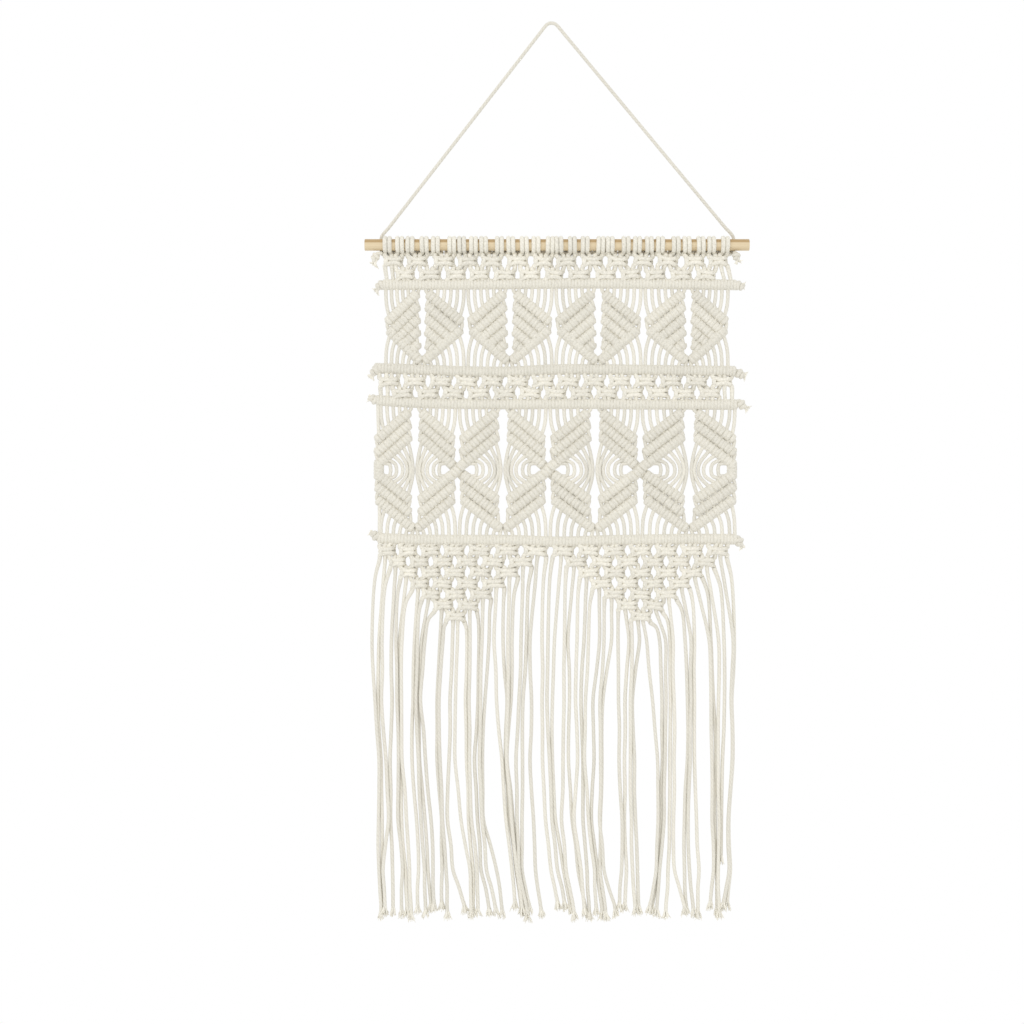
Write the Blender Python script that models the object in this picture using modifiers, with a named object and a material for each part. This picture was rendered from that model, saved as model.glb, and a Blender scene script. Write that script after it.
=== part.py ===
"""Macrame wall hanging: a knotted cotton net with a long fringe, on a wooden rod with a hanging cord.

Metres, +Z up. The origin is the point where the hanging cord rests at its apex, and the front faces -Y.
The net hangs in the plane y = 0.
"""
import math
from collections import namedtuple

import bpy

# Rod.
ROD_LENGTH = 0.400
ROD_RADIUS = 0.0060
ROD_CENTRE_X = 0.0057
ROD_Z = -0.2290
ROD_SIDES = 32
ROD_EDGE = 0.0005
GAP = 0.0003                   # clearance between neighbouring pieces

# Hanging cord.
CORD_RADIUS = 0.0018
APEX_BEND = 0.0080             # radius of the cord's centreline over its nail
APEX_POINTS = 4
TIE_LEFT_X = -0.1773
TIE_RIGHT_X = 0.1898
LEG_END = 0.0090               # the legs end this far above the rod's axis and drop behind it
LEG_POINTS = 20
TIE_STEP = math.pi / 6         # behind and under the rod the cord turns a quarter, in steps of this angle
TIE_STEPS = 3
TIE_REACH = (ROD_RADIUS + GAP + CORD_RADIUS) / math.cos(TIE_STEP / 2)
TIE_END = 0.0010               # and ends this far in front of the rod's axis, in its tail

# One row for each step along a tail: under the rod, its knot, its neck and its frayed end.
TailStep = namedtuple("TailStep", "out front down radius")
TAIL_LEFT = (
    TailStep(0.0000, 0.0000, 0.0000, 0.0018),
    TailStep(0.0000, 0.0012, 0.0000, 0.0019),
    TailStep(0.0009, 0.0020, 0.0008, 0.0020),
    TailStep(0.0034, 0.0024, 0.0034, 0.0029),
    TailStep(0.0054, 0.0020, 0.0068, 0.0022),
    TailStep(0.0064, 0.0026, 0.0124, 0.0027),
)
TAIL_RIGHT = (
    TailStep(0.0000, 0.0000, 0.0000, 0.0018),
    TailStep(0.0000, 0.0012, 0.0000, 0.0019),
    TailStep(0.0009, 0.0020, 0.0006, 0.0020),
    TailStep(0.0031, 0.0024, 0.0026, 0.0028),
    TailStep(0.0051, 0.0022, 0.0052, 0.0022),
    TailStep(0.0067, 0.0026, 0.0094, 0.0022),
)

# Heading loops.
HEADING_KNOT_X = -0.1633       # centre of the first square knot
HEADING_PITCH = 0.02609
LOOP_OFFSET = 0.0074           # each knot hangs from two loops, this far to its left and right
LOOP_WIDTH = 0.0086
LOOP_WALL = 0.0024
LOOP_BIGHT = 0.0028            # how far the bight stands out behind
LOOP_SIDES = 8

# Knots and the gaps between them.
CORDS_PER_KNOT = 4
KNOTS_IN_ROW = 14
KNOT_HALF_WIDTH = 0.0083
KNOT_THICKNESS = 0.0084
HEADING_DROP = 0.0008          # from the loops' lowest side down to the first row
HEADING_HOLE = (0.0020, 0.0130)   # from the band's top to a hole's top and bottom
MIDDLE_KNOT_X = -0.1686
MIDDLE_PITCH = 0.02662
HOLE_HALF_WIDTH = 0.0032
HOLE_HALF_HEIGHT = 0.0042
NOTCH_DEPTH = 0.0105           # a gap that is open at its band's edge
NOTCH_WAIST = 0.55             # where it is widest, as a share of that depth
NOTCH_MOUTH = 0.8              # its width at the edge, as a share of its widest

# Filler bars.
BAR_RADIUS = 0.0050
BAR_LEFT_X = -0.1770           # the hitched stretch of each filler cord
BAR_RIGHT_X = 0.1895
BAR_POINTS = 9
Bar = namedtuple("Bar", "name left_z middle_z right_z left_tip right_tip")
BARS = (
    Bar("filler_bar_1", -0.2703, -0.2702, -0.2702, (-0.1836, -0.2765), (0.2006, -0.2708)),
    Bar("filler_bar_2", -0.3578, -0.3596, -0.3598, (-0.1902, -0.3655), (0.2028, -0.3645)),
    Bar("filler_bar_3", -0.3931, -0.3950, -0.3950, (-0.1893, -0.3900), (0.2053, -0.3951)),
    Bar("filler_bar_4", -0.5347, -0.5372, -0.5345, (-0.1888, -0.5300), (0.2003, -0.5425)),
)

# One row for each step from a bar's end to its tip: how far along, and how thick. The knot is in the middle.
TipStep = namedtuple("TipStep", "share radius")
BAR_TIP = (TipStep(0.12, 0.0040), TipStep(0.35, 0.0043), TipStep(0.75, 0.0036), TipStep(1.0, 0.0016))

# Leaf motifs: where they meet, and the slits between their halves, from left to right.
LEAF_THICKNESS = 0.0060        # between that of the hitched leaves and that of their loose cords
CORDS_PER_LEAF = 7
STRAND_WIDTH = 0.0038
SLIT_HALF_WIDTH = 0.0031
MIN_GAP_LENGTH = 0.0090        # shorter gaps between strands are closed
BAR_SIDE = 0.0015              # how far a motif keeps from its neighbour at the bars
UPPER_LEAF_EDGES = (-0.1758, -0.0889, 0.0018, 0.0952, 0.1872)
UPPER_LEAF_SLITS = (-0.1347, -0.0437, 0.0484, 0.1425)
LOWER_LEAF_EDGES = (-0.1851, -0.0993, -0.0036, 0.0921, 0.1945)
LOWER_LEAF_SLITS = (-0.1420, -0.0505, 0.0453, 0.1430)

# How far a motif keeps from its neighbour between the bars, from the top down.
SideStep = namedtuple("SideStep", "z away")
UPPER_LEAF_SIDE = (SideStep(-0.3000, 0.0020), SideStep(-0.3125, 0.0036), SideStep(-0.3250, 0.0020))
LOWER_LEAF_SIDE = (
    SideStep(-0.4260, 0.0034), SideStep(-0.4565, 0.0034), SideStep(-0.4590, GAP / 2),
    SideStep(-0.4695, GAP / 2), SideStep(-0.4720, 0.0034), SideStep(-0.5010, 0.0034),
)

# Slanted edges in one half of a motif, each through two places: share of the half from its outside, height.
Slant = namedtuple("Slant", "share z share_2 z_2")
UPPER_LEAF_TOP = Slant(0.03, -0.3080, 0.90, -0.2785)
UPPER_LEAF_BOTTOM = Slant(0.03, -0.3165, 1.00, -0.3500)
UPPER_SLIT_END = -0.3385
LOWER_LEAF_TOP = Slant(0.05, -0.4300, 0.87, -0.4030)
LOWER_LEAF_BOTTOM = Slant(0.05, -0.5000, 1.00, -0.5240)
FIELD_TOP = Slant(0.20, -0.4590, 0.90, -0.4370)
FIELD_BOTTOM = Slant(0.20, -0.4680, 0.90, -0.4900)
LOWER_SLIT_END = -0.4350
LOW_SLIT = (-0.4915, -0.5175)
ARCHED_GAPS = range(2, CORDS_PER_LEAF - 1)
ARCH = 0.15                    # how far the loose cords of the field arch inwards, as a share of the half
ARCH_LOSS = 0.05               # they arch less past this share of the half
ARCH_FULL_TO = 0.6

# Knot triangles: the middle of the first row and of the apex, and the pitch of the knots.
Triangle = namedtuple("Triangle", "name top_x apex_x pitch")
TRIANGLES = (
    Triangle("knot_triangle_left", -0.0941, -0.1020, 0.0256),
    Triangle("knot_triangle_right", 0.0926, 0.0947, 0.0268),
)
TRIANGLE_ROWS = 7
TRIANGLE_TOP_Z = -0.5474       # centre of the first row
ROW_PITCH = 0.01128
APEX_CORDS_PITCH = 0.0042

# Fringe. One row for each gathering of cords: how many, where it hangs half way down, and its foot.
Gathering = namedtuple("Gathering", "cords middle_x foot_x foot_z")
FRINGE = (
    Gathering(3, -0.1774, -0.1758, -0.9295),
    Gathering(1, -0.1670, -0.1649, -0.9260),
    Gathering(3, -0.1566, -0.1503, -0.9300),
    Gathering(1, -0.1451, -0.1389, -0.9250),
    Gathering(3, -0.1352, -0.1280, -0.9262),
    Gathering(2, -0.1175, -0.1113, -0.9272),
    Gathering(1, -0.1066, -0.0921, -0.9258),
    Gathering(1, -0.1004, -0.0858, -0.9290),
    Gathering(2, -0.0869, -0.0780, -0.9280),
    Gathering(3, -0.0759, -0.0609, -0.9280),
    Gathering(4, -0.0484, -0.0369, -0.9270),
    Gathering(2, -0.0333, -0.0234, -0.9330),
    Gathering(1, -0.0224, -0.0114, -0.9290),
    Gathering(1, -0.0094, 0.0047, -0.9215),
    Gathering(2, -0.0005, 0.0161, -0.9225),
    Gathering(2, 0.0146, 0.0266, -0.9310),
    Gathering(3, 0.0317, 0.0390, -0.9290),
    Gathering(2, 0.0463, 0.0525, -0.9320),
    Gathering(1, 0.0536, 0.0655, -0.9280),
    Gathering(2, 0.0733, 0.0739, -0.9220),
    Gathering(2, 0.0843, 0.0884, -0.9260),
    Gathering(2, 0.1129, 0.1014, -0.9250),
    Gathering(1, 0.1196, 0.1098, -0.9280),
    Gathering(1, 0.1243, 0.1191, -0.9300),
    Gathering(1, 0.1290, 0.1368, -0.9260),
    Gathering(3, 0.1446, 0.1477, -0.9295),
    Gathering(4, 0.1727, 0.1711, -0.9250),
    Gathering(2, 0.1883, 0.1846, -0.9215),
)
FRINGE_THICKNESS = 0.0036
FRINGE_PITCH = 0.0044
FRINGE_SPINE = 0.0025          # height of the comb's back
FRINGE_STEP = 0.0062           # between the two cords that leave each outermost knot
FRINGE_SLACK = 0.0001
FRINGE_UNEVEN = 0.002          # difference in length between neighbours in one gathering
FRINGE_DROP_Z = -0.6900        # by here the cords have moved most of the way to their gatherings
FRINGE_DROP_SHARE = 0.65
FRINGE_MIDDLE_Z = -0.7650

COTTON = (0.80, 0.74, 0.64)
WOOD = (0.78, 0.60, 0.36)


def clear_scene():
    for obj in list(bpy.data.objects):
        bpy.data.objects.remove(obj, do_unlink=True)


def new_collection(name):
    collection = bpy.data.collections.new(name)
    bpy.context.scene.collection.children.link(collection)
    return collection


def new_material(name, colour, roughness):
    material = bpy.data.materials.new(name)
    material.use_nodes = True
    shader = material.node_tree.nodes["Principled BSDF"]
    shader.inputs["Base Color"].default_value = (*colour, 1.0)
    shader.inputs["Roughness"].default_value = roughness
    shader.inputs["Metallic"].default_value = 0.0
    return material


def add_piece(name, data, colour=COTTON, roughness=0.9):
    """Put a mesh or curve into the hanging's collection as one named piece with its own material."""
    piece = bpy.data.objects.new(name, data)
    PARTS.objects.link(piece)
    data.materials.append(new_material(name, colour, roughness))
    return piece


def tube(name, points, radii):
    """A round cord through the points, thicker or thinner where its radii say so."""
    curve = bpy.data.curves.new(name, "CURVE")
    curve.dimensions = "3D"
    curve.bevel_depth = max(radii)
    curve.bevel_resolution = 2
    curve.use_fill_caps = True
    spline = curve.splines.new("POLY")
    spline.points.add(len(points) - 1)
    for point, place, radius in zip(spline.points, points, radii):
        point.co = (*place, 1.0)
        point.radius = radius / max(radii)
    return add_piece(name, curve)


def flat_curve(name, outlines, thickness):
    """A 2D curve of closed outlines, filled and extruded: a plate in its own XY plane."""
    curve = bpy.data.curves.new(name, "CURVE")
    curve.dimensions = "2D"
    curve.fill_mode = "BOTH"
    curve.extrude = thickness / 2
    for outline in outlines:
        spline = curve.splines.new("POLY")
        spline.points.add(len(outline) - 1)
        for point, (x, z) in zip(spline.points, outline):
            point.co = (x, z, 0.0, 1.0)
        spline.use_cyclic_u = True
    return curve


def plate(name, outlines, thickness):
    """A flat piece of the net, standing in the plane y = 0: outlines are (x, z), the first one outside."""
    piece = add_piece(name, flat_curve(name, outlines, thickness))
    piece.rotation_euler = (math.pi / 2, 0.0, 0.0)
    return piece


def bar_z(bar, x):
    """Height of a filler bar's axis at x: a parabola through its left, middle and right heights."""
    t = 2 * (x - BAR_LEFT_X) / (BAR_RIGHT_X - BAR_LEFT_X) - 1
    slope = (bar.right_z - bar.left_z) / 2
    bow = (bar.right_z + bar.left_z) / 2 - bar.middle_z
    return bar.middle_z + slope * t + bow * t * t


def under(bar, x):
    return bar_z(bar, x) - BAR_RADIUS - GAP


def over(bar, x):
    return bar_z(bar, x) + BAR_RADIUS + GAP


def between(start, end, share):
    return tuple(a + (b - a) * share for a, b in zip(start, end))


def make_rod():
    bpy.ops.mesh.primitive_cylinder_add(
        vertices=ROD_SIDES, radius=ROD_RADIUS, depth=ROD_LENGTH,
        location=(ROD_CENTRE_X, 0.0, ROD_Z), rotation=(0.0, math.pi / 2, 0.0))
    rod = bpy.context.object
    rod.name = "rod"
    for collection in list(rod.users_collection):
        collection.objects.unlink(rod)
    PARTS.objects.link(rod)
    rod.data.materials.append(new_material("rod", WOOD, 0.6))
    edge = rod.modifiers.new("edge", "BEVEL")
    edge.width = ROD_EDGE
    edge.segments = 1
    edge.limit_method = "ANGLE"


def tie_points(tie_x):
    """Route behind the rod, round to its underside and a little forwards."""
    points = []
    for i in range(TIE_STEPS + 1):
        turn = TIE_STEP * i
        points.append((tie_x, TIE_REACH * math.cos(turn), ROD_Z - TIE_REACH * math.sin(turn)))
    points.append((tie_x, -TIE_END, ROD_Z - TIE_REACH))
    return points


def leg_points(tie_x):
    """One straight leg of the hanging cord, from just past the apex to just above the back of the rod."""
    side = 1 if tie_x > 0 else -1
    centre_z = CORD_RADIUS - APEX_BEND
    end = (tie_x, TIE_REACH, ROD_Z + LEG_END)
    bend = math.pi / 2 - math.atan2(abs(tie_x), -end[2])
    arc = []
    for i in range(1, APEX_POINTS + 1):
        turn = bend * i / APEX_POINTS
        arc.append((side * APEX_BEND * math.sin(turn), 0.0, centre_z + APEX_BEND * math.cos(turn)))
    return arc + [between(arc[-1], end, i / LEG_POINTS) for i in range(1, LEG_POINTS + 1)]


def make_hanging_cord():
    """One cord from under the rod at the left, over the nail, to under the rod at the right."""
    left =leg_points(TIE_LEFT_X) + tie_points(TIE_LEFT_X)
    right = leg_points(TIE_RIGHT_X) + tie_points(TIE_RIGHT_X)
    points = left[::-1] + [(0.0, 0.0, CORD_RADIUS)] + right
    tube("hanging_cord", points, [CORD_RADIUS] * len(points))


def make_tail(name, tie_x, outwards, steps):
    """The knotted, frayed end of the hanging cord, which comes out forwards from under the rod."""
    y, z = -TIE_END - GAP, ROD_Z - TIE_REACH
    route = [(tie_x + outwards * step.out, y - step.front, z - step.down) for step in steps]
    tube(name, route, [step.radius for step in steps])


def loop_outline():
    """The two outlines of a heading loop in the YZ plane, thick behind where the bight crosses."""
    inner_reach = (ROD_RADIUS + GAP) / math.cos(math.pi / LOOP_SIDES)
    outer, inner = [], []
    for i in range(LOOP_SIDES):
        turn = 2 * math.pi * (i + 0.5) / LOOP_SIDES
        towards_back = max(0.0, math.cos(turn + math.pi / LOOP_SIDES))
        reach = inner_reach + LOOP_WALL + LOOP_BIGHT * towards_back ** 3
        outer.append((reach * math.cos(turn), reach * math.sin(turn)))
        inner.append((inner_reach * math.cos(turn), inner_reach * math.sin(turn)))
    return outer, inner


def make_heading():
    outlines = loop_outline()
    for number in range(2 * KNOTS_IN_ROW):
        knot_x = HEADING_KNOT_X + HEADING_PITCH * (number // 2)
        side = 1 if number % 2 else -1
        name = f"heading_loop_{number + 1:02d}"
        loop = add_piece(name, flat_curve(name, outlines, LOOP_WIDTH))
        loop.rotation_euler = (math.pi / 2, 0.0, math.pi / 2)
        loop.location = (knot_x + side * LOOP_OFFSET, 0.0, ROD_Z)


def hole(x, top_z, bottom_z):
    """A lozenge-shaped gap between two knots."""
    middle_z = (top_z + bottom_z) / 2
    return [(x, top_z), (x + HOLE_HALF_WIDTH, middle_z), (x, bottom_z), (x - HOLE_HALF_WIDTH, middle_z)]


def notch(x, edge, inwards):
    """A gap that is open at the band's edge; edge(x) is that edge's height, inwards is 1 for up or -1."""
    half, mouth = HOLE_HALF_WIDTH, HOLE_HALF_WIDTH * NOTCH_MOUTH
    depth = inwards * NOTCH_DEPTH
    waist = edge(x) + depth * NOTCH_WAIST
    return [(x - mouth, edge(x - mouth)), (x - half, waist), (x, edge(x) + depth),
            (x + half, waist), (x + mouth, edge(x + mouth))]


def along(first, pitch, count):
    return [first + pitch * i for i in range(count)]


def make_knot_band_top():
    bar = BARS[0]
    top_z = ROD_Z - ROD_RADIUS - GAP - LOOP_WALL - HEADING_DROP
    left_x = HEADING_KNOT_X - KNOT_HALF_WIDTH
    right_x = HEADING_KNOT_X + HEADING_PITCH * (KNOTS_IN_ROW - 1) + KNOT_HALF_WIDTH
    hole_top, hole_bottom = (top_z - depth for depth in HEADING_HOLE)
    first_gap = HEADING_KNOT_X + HEADING_PITCH / 2
    holes = [hole(x, hole_top, hole_bottom) for x in along(first_gap, HEADING_PITCH, KNOTS_IN_ROW - 1)]
    outline = [(left_x, top_z), (left_x, over(bar, left_x))]
    for x in along(HEADING_KNOT_X + HEADING_PITCH, HEADING_PITCH, KNOTS_IN_ROW - 2):
        outline += notch(x, lambda at: over(bar, at), 1)
    outline += [(right_x, over(bar, right_x)), (right_x, top_z)]
    plate("knot_band_top", [outline] + holes, KNOT_THICKNESS)


def make_knot_band_middle():
    upper, lower = BARS[1], BARS[2]
    left_x = MIDDLE_KNOT_X - KNOT_HALF_WIDTH
    right_x = MIDDLE_KNOT_X + MIDDLE_PITCH * (KNOTS_IN_ROW - 1) + KNOT_HALF_WIDTH
    outline = [(left_x, under(upper, left_x)), (left_x, over(lower, left_x))]
    for x in along(MIDDLE_KNOT_X + MIDDLE_PITCH, MIDDLE_PITCH, KNOTS_IN_ROW - 2):
        outline += notch(x, lambda at: over(lower, at), 1)
    outline += [(right_x, over(lower, right_x)), (right_x, under(upper, right_x))]
    for x in reversed(along(MIDDLE_KNOT_X + MIDDLE_PITCH / 2, MIDDLE_PITCH, KNOTS_IN_ROW - 1)):
        outline += notch(x, lambda at: under(upper, at), -1)[::-1]
    plate("knot_band_middle", [outline], KNOT_THICKNESS)


def slant_z(slant, share):
    return slant.z + (slant.z_2 - slant.z) * (share - slant.share) / (slant.share_2 - slant.share)


def at_bar(x):
    """x moved onto the hitched stretch of the bars, because the net bulges a little past it."""
    return min(max(x, BAR_LEFT_X), BAR_RIGHT_X)


def comb_edge(outer_x, slit_x, tip, root, downwards):
    """Points along the loose cords of one half, from its outer edge to its slit.

    tip(x) is the height where the cords meet their bar, root the leaf's slanted edge, and downwards 1 or
    -1. A gap lies between each cord and the next, except where it would be too short to show.
    """
    points = []
    width, tip_width = slit_x - outer_x, slit_x - at_bar(outer_x)
    lean = (abs(width) / CORDS_PER_LEAF - STRAND_WIDTH) / 2 / abs(width)
    for gap in range(1, CORDS_PER_LEAF):
        share = gap / CORDS_PER_LEAF
        tip_x = at_bar(outer_x) + share * tip_width
        if downwards * (tip(tip_x) - slant_z(root, share)) < MIN_GAP_LENGTH:
            continue
        near, far = tip_x - lean * tip_width, tip_x + lean * tip_width
        points += [(near, tip(near)), (outer_x + (share - lean) * width, slant_z(root, share - lean)),
                   (outer_x + (share + lean) * width, slant_z(root, share + lean)), (far, tip(far))]
    return points


def motif_comb(left_x, slit_x, right_x, tip, root, downwards):
    """The comb edges of a motif's two mirrored halves, as (left half, right half), from left to right."""
    left = comb_edge(left_x, slit_x, tip, root, downwards)
    right = comb_edge(right_x, slit_x, tip, root, downwards)
    return left, right[::-1]


def motif_outline(edges, slit_x, slit_end, top, bottom, roots, side):
    """Outline of a leaf motif: combs above and below, a slit from the top, and waists at its neighbours."""
    left_edge, right_edge = edges
    left_x, right_x = left_edge + BAR_SIDE, right_edge - BAR_SIDE
    top_left, top_right = motif_comb(left_x, slit_x, right_x, lambda x: under(top, x), roots[0], 1)
    low_left, low_right = motif_comb(left_x, slit_x, right_x, lambda x: over(bottom, x), roots[1], -1)
    slit_left, slit_right = slit_x - SLIT_HALF_WIDTH, slit_x + SLIT_HALF_WIDTH
    slit = [(slit_left, under(top, slit_left)), (slit_left, slit_end),
            (slit_right, slit_end), (slit_right, under(top, slit_right))]
    left_x, right_x = at_bar(left_x), at_bar(right_x)
    outline = [(left_x, under(top, left_x))] + top_left + slit + top_right + [(right_x, under(top, right_x))]
    outline += [(right_edge - step.away, step.z) for step in side]
    outline += [(right_x, over(bottom, right_x))] + (low_left + low_right)[::-1]
    outline += [(left_x, over(bottom, left_x))]
    return outline + [(left_edge + step.away, step.z) for step in reversed(side)]


def make_upper_leaves():
    roots = (UPPER_LEAF_TOP, UPPER_LEAF_BOTTOM)
    for i, slit_x in enumerate(UPPER_LEAF_SLITS):
        edges = UPPER_LEAF_EDGES[i:i + 2]
        outline = motif_outline(edges, slit_x, UPPER_SLIT_END, BARS[0], BARS[1], roots, UPPER_LEAF_SIDE)
        plate(f"leaf_band_upper_{i + 1}", [outline], LEAF_THICKNESS)


def arched_gap(outer_x, slit_x, number):
    """The gap between two arched loose cords of one half of a lower motif."""
    width = slit_x - outer_x
    share = number / CORDS_PER_LEAF
    arch = ARCH - ARCH_LOSS * max(0.0, share - ARCH_FULL_TO)
    half = (abs(width) / CORDS_PER_LEAF - STRAND_WIDTH) / 2 / abs(width)
    top_z, bottom_z = slant_z(FIELD_TOP, share), slant_z(FIELD_BOTTOM, share)
    middle_z = (top_z + bottom_z) / 2
    corners = ((share - half, top_z), (share + half, top_z), (share + arch + half, middle_z),
               (share + half, bottom_z), (share - half, bottom_z), (share + arch - half, middle_z))
    return [(outer_x + width * at, z) for at, z in corners]


def make_lower_leaves():
    roots = (LOWER_LEAF_TOP, LOWER_LEAF_BOTTOM)
    for i, slit_x in enumerate(LOWER_LEAF_SLITS):
        edges = LOWER_LEAF_EDGES[i:i + 2]
        outline = motif_outline(edges, slit_x, LOWER_SLIT_END, BARS[2], BARS[3], roots, LOWER_LEAF_SIDE)
        sides = (slit_x - SLIT_HALF_WIDTH, slit_x + SLIT_HALF_WIDTH)
        low_slit = [(x, z) for x, ends in zip(sides, (LOW_SLIT, LOW_SLIT[::-1])) for z in ends]
        gaps = [arched_gap(outer_x, slit_x, number)
                for outer_x in (edges[0] + BAR_SIDE, edges[1] - BAR_SIDE) for number in ARCHED_GAPS]
        plate(f"leaf_band_lower_{i + 1}", [outline, low_slit] + gaps, LEAF_THICKNESS)


def make_bar(bar):
    """A filler cord under its row of hitches, with a knot and a frayed tip beyond each end."""
    span = BAR_RIGHT_X - BAR_LEFT_X
    axis = [BAR_LEFT_X + span * i / (BAR_POINTS - 1) for i in range(BAR_POINTS)]
    points = [(x, 0.0, bar_z(bar, x)) for x in axis]
    ends = []
    for end, (tip_x, tip_z) in ((points[0], bar.left_tip), (points[-1], bar.right_tip)):
        ends.append([between(end, (tip_x, 0.0, tip_z), step.share) for step in BAR_TIP])
    sizes = [step.radius for step in BAR_TIP]
    tube(bar.name, ends[0][::-1] + points + ends[1], sizes[::-1] + [BAR_RADIUS] * BAR_POINTS + sizes)


def knot_row(triangle, row):
    """Centres of the knots in one row of a triangle."""
    knots = TRIANGLE_ROWS - row
    middle = triangle.top_x + (triangle.apex_x - triangle.top_x) * row / (TRIANGLE_ROWS - 1)
    return [middle + (i - (knots - 1) / 2) * triangle.pitch for i in range(knots)]


def row_z(row):
    return TRIANGLE_TOP_Z - ROW_PITCH * row


def make_triangle(triangle):
    bar = BARS[3]
    left_side, right_side = [], []
    for row in range(TRIANGLE_ROWS):
        knots = knot_row(triangle, row)
        left_x, right_x = knots[0] - KNOT_HALF_WIDTH, knots[-1] + KNOT_HALF_WIDTH
        row_top = row_z(row) + ROW_PITCH / 2
        for side, x in ((left_side, left_x), (right_side, right_x)):
            side += [(x, row_top if row else under(bar, x)), (x, row_top - ROW_PITCH)]
    top = []
    first_row = knot_row(triangle, 0)
    for a, b in zip(first_row, first_row[1:]):
        top += notch((a + b) / 2, lambda at: under(bar, at), -1)
    holes = []
    for row in range(1, TRIANGLE_ROWS):
        knots = knot_row(triangle, row)
        for a, b in zip(knots, knots[1:]):
            holes.append(hole((a + b) / 2, row_z(row) + HOLE_HALF_HEIGHT, row_z(row) - HOLE_HALF_HEIGHT))
    plate(triangle.name, [left_side[::-1] + top + right_side] + holes, KNOT_THICKNESS)


def fringe_starts():
    """Where each fringe cord leaves the triangles, as (x, height), from left to right."""
    starts = []
    inner = GAP + STRAND_WIDTH / 2 + FRINGE_SLACK
    below_row = ROW_PITCH / 2 + GAP
    for triangle in TRIANGLES:
        left, right = [], []
        for row in range(TRIANGLE_ROWS - 1):
            next_row = knot_row(triangle, row + 1)
            level = row_z(row) - below_row
            riser_left = next_row[0] - KNOT_HALF_WIDTH - inner
            riser_right = next_row[-1] + KNOT_HALF_WIDTH + inner
            left += [(riser_left - FRINGE_STEP, level), (riser_left, level)]
            right += [(riser_right + FRINGE_STEP, level), (riser_right, level)]
        apex_level = row_z(TRIANGLE_ROWS - 1) - below_row
        first_x = triangle.apex_x - (CORDS_PER_KNOT - 1) / 2 * APEX_CORDS_PITCH
        apex = [(x, apex_level) for x in along(first_x, APEX_CORDS_PITCH, CORDS_PER_KNOT)]
        starts += left + apex + right[::-1]
    return starts


def fringe_feet():
    """Where each fringe cord hangs half way down and at its foot: (middle x, foot x, foot z)."""
    feet = []
    for group in FRINGE:
        for i in range(group.cords):
            aside = (i - (group.cords - 1) / 2) * FRINGE_PITCH
            foot_z = group.foot_z + FRINGE_UNEVEN * ((i * 2) % 3)
            feet.append((group.middle_x + aside, group.foot_x + aside, foot_z))
    return feet


def fringe_top(starts):
    """The comb's upper edge: it follows the steps of both triangles a little below them."""
    half = STRAND_WIDTH / 2
    points = [(starts[0][0] - half, starts[0][1])]
    for (x, level), (next_x, next_level) in zip(starts, starts[1:]):
        if next_level < level:
            points += [(x + half, level), (x + half, next_level)]
        elif next_level > level:
            points += [(next_x - half, level), (next_x - half, next_level)]
    points.append((starts[-1][0] + half, starts[-1][1]))
    return points


def make_fringe():
    starts, feet = fringe_starts(), fringe_feet()
    half = STRAND_WIDTH / 2
    last = len(starts) - 1
    bottom = []
    for number, ((x, level), (middle_x, foot_x, foot_z)) in enumerate(zip(starts, feet)):
        drop_x = x + (middle_x - x) * FRINGE_DROP_SHARE
        down = [(drop_x, FRINGE_DROP_Z), (middle_x, FRINGE_MIDDLE_Z), (foot_x, foot_z)]
        left = [(at - half, z) for at, z in down]
        right = [(at + half, z) for at, z in down]
        if number > 0:
            left.insert(0, (x - half, min(level, starts[number - 1][1]) - FRINGE_SPINE))
        if number < last:
            right.insert(0, (x + half, min(level, starts[number + 1][1]) - FRINGE_SPINE))
        bottom += left + right[::-1]
    plate("fringe", [fringe_top(starts)[::-1] + bottom], FRINGE_THICKNESS)


clear_scene()
PARTS = new_collection("macrame_wall_hanging")
make_rod()
make_hanging_cord()
make_tail("cord_tail_left", TIE_LEFT_X, -1, TAIL_LEFT)
make_tail("cord_tail_right", TIE_RIGHT_X, 1, TAIL_RIGHT)
make_heading()
make_knot_band_top()
make_knot_band_middle()
make_upper_leaves()
make_lower_leaves()
for each_bar in BARS:
    make_bar(each_bar)
for each_triangle in TRIANGLES:
    make_triangle(each_triangle)
make_fringe()
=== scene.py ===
"""Macrame wall hanging: 56 cotton cords, knotted row by row below a wooden rod, with a long fringe.

Everything is in metres, in the frame of the part: +Z up, front -Y, origin under the apex of the hanging
cord. Each working cord is one path through the knots, hitches and loose stretches of its band.
"""
import math
import random
from collections import namedtuple

import bpy
import numpy as np
from bpy.props import FloatProperty, FloatVectorProperty, PointerProperty
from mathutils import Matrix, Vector


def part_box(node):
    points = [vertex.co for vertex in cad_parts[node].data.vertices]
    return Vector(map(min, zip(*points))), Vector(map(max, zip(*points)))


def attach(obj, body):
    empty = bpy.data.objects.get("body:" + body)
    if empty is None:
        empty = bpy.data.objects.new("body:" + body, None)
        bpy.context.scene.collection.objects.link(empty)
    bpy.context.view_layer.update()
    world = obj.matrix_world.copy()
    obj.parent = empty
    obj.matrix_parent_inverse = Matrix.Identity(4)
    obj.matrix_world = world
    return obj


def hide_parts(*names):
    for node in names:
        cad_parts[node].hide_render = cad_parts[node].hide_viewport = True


bl_info = {
    "name": "Macrame wall hanging",
    "version": (1, 0, 0),
    "blender": (4, 5, 0),
    "location": "3D View > Sidebar > Hanging",
    "description": "Builds a knotted cotton wall hanging on a wooden rod, cord by cord",
    "category": "Mesh",
}

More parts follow.
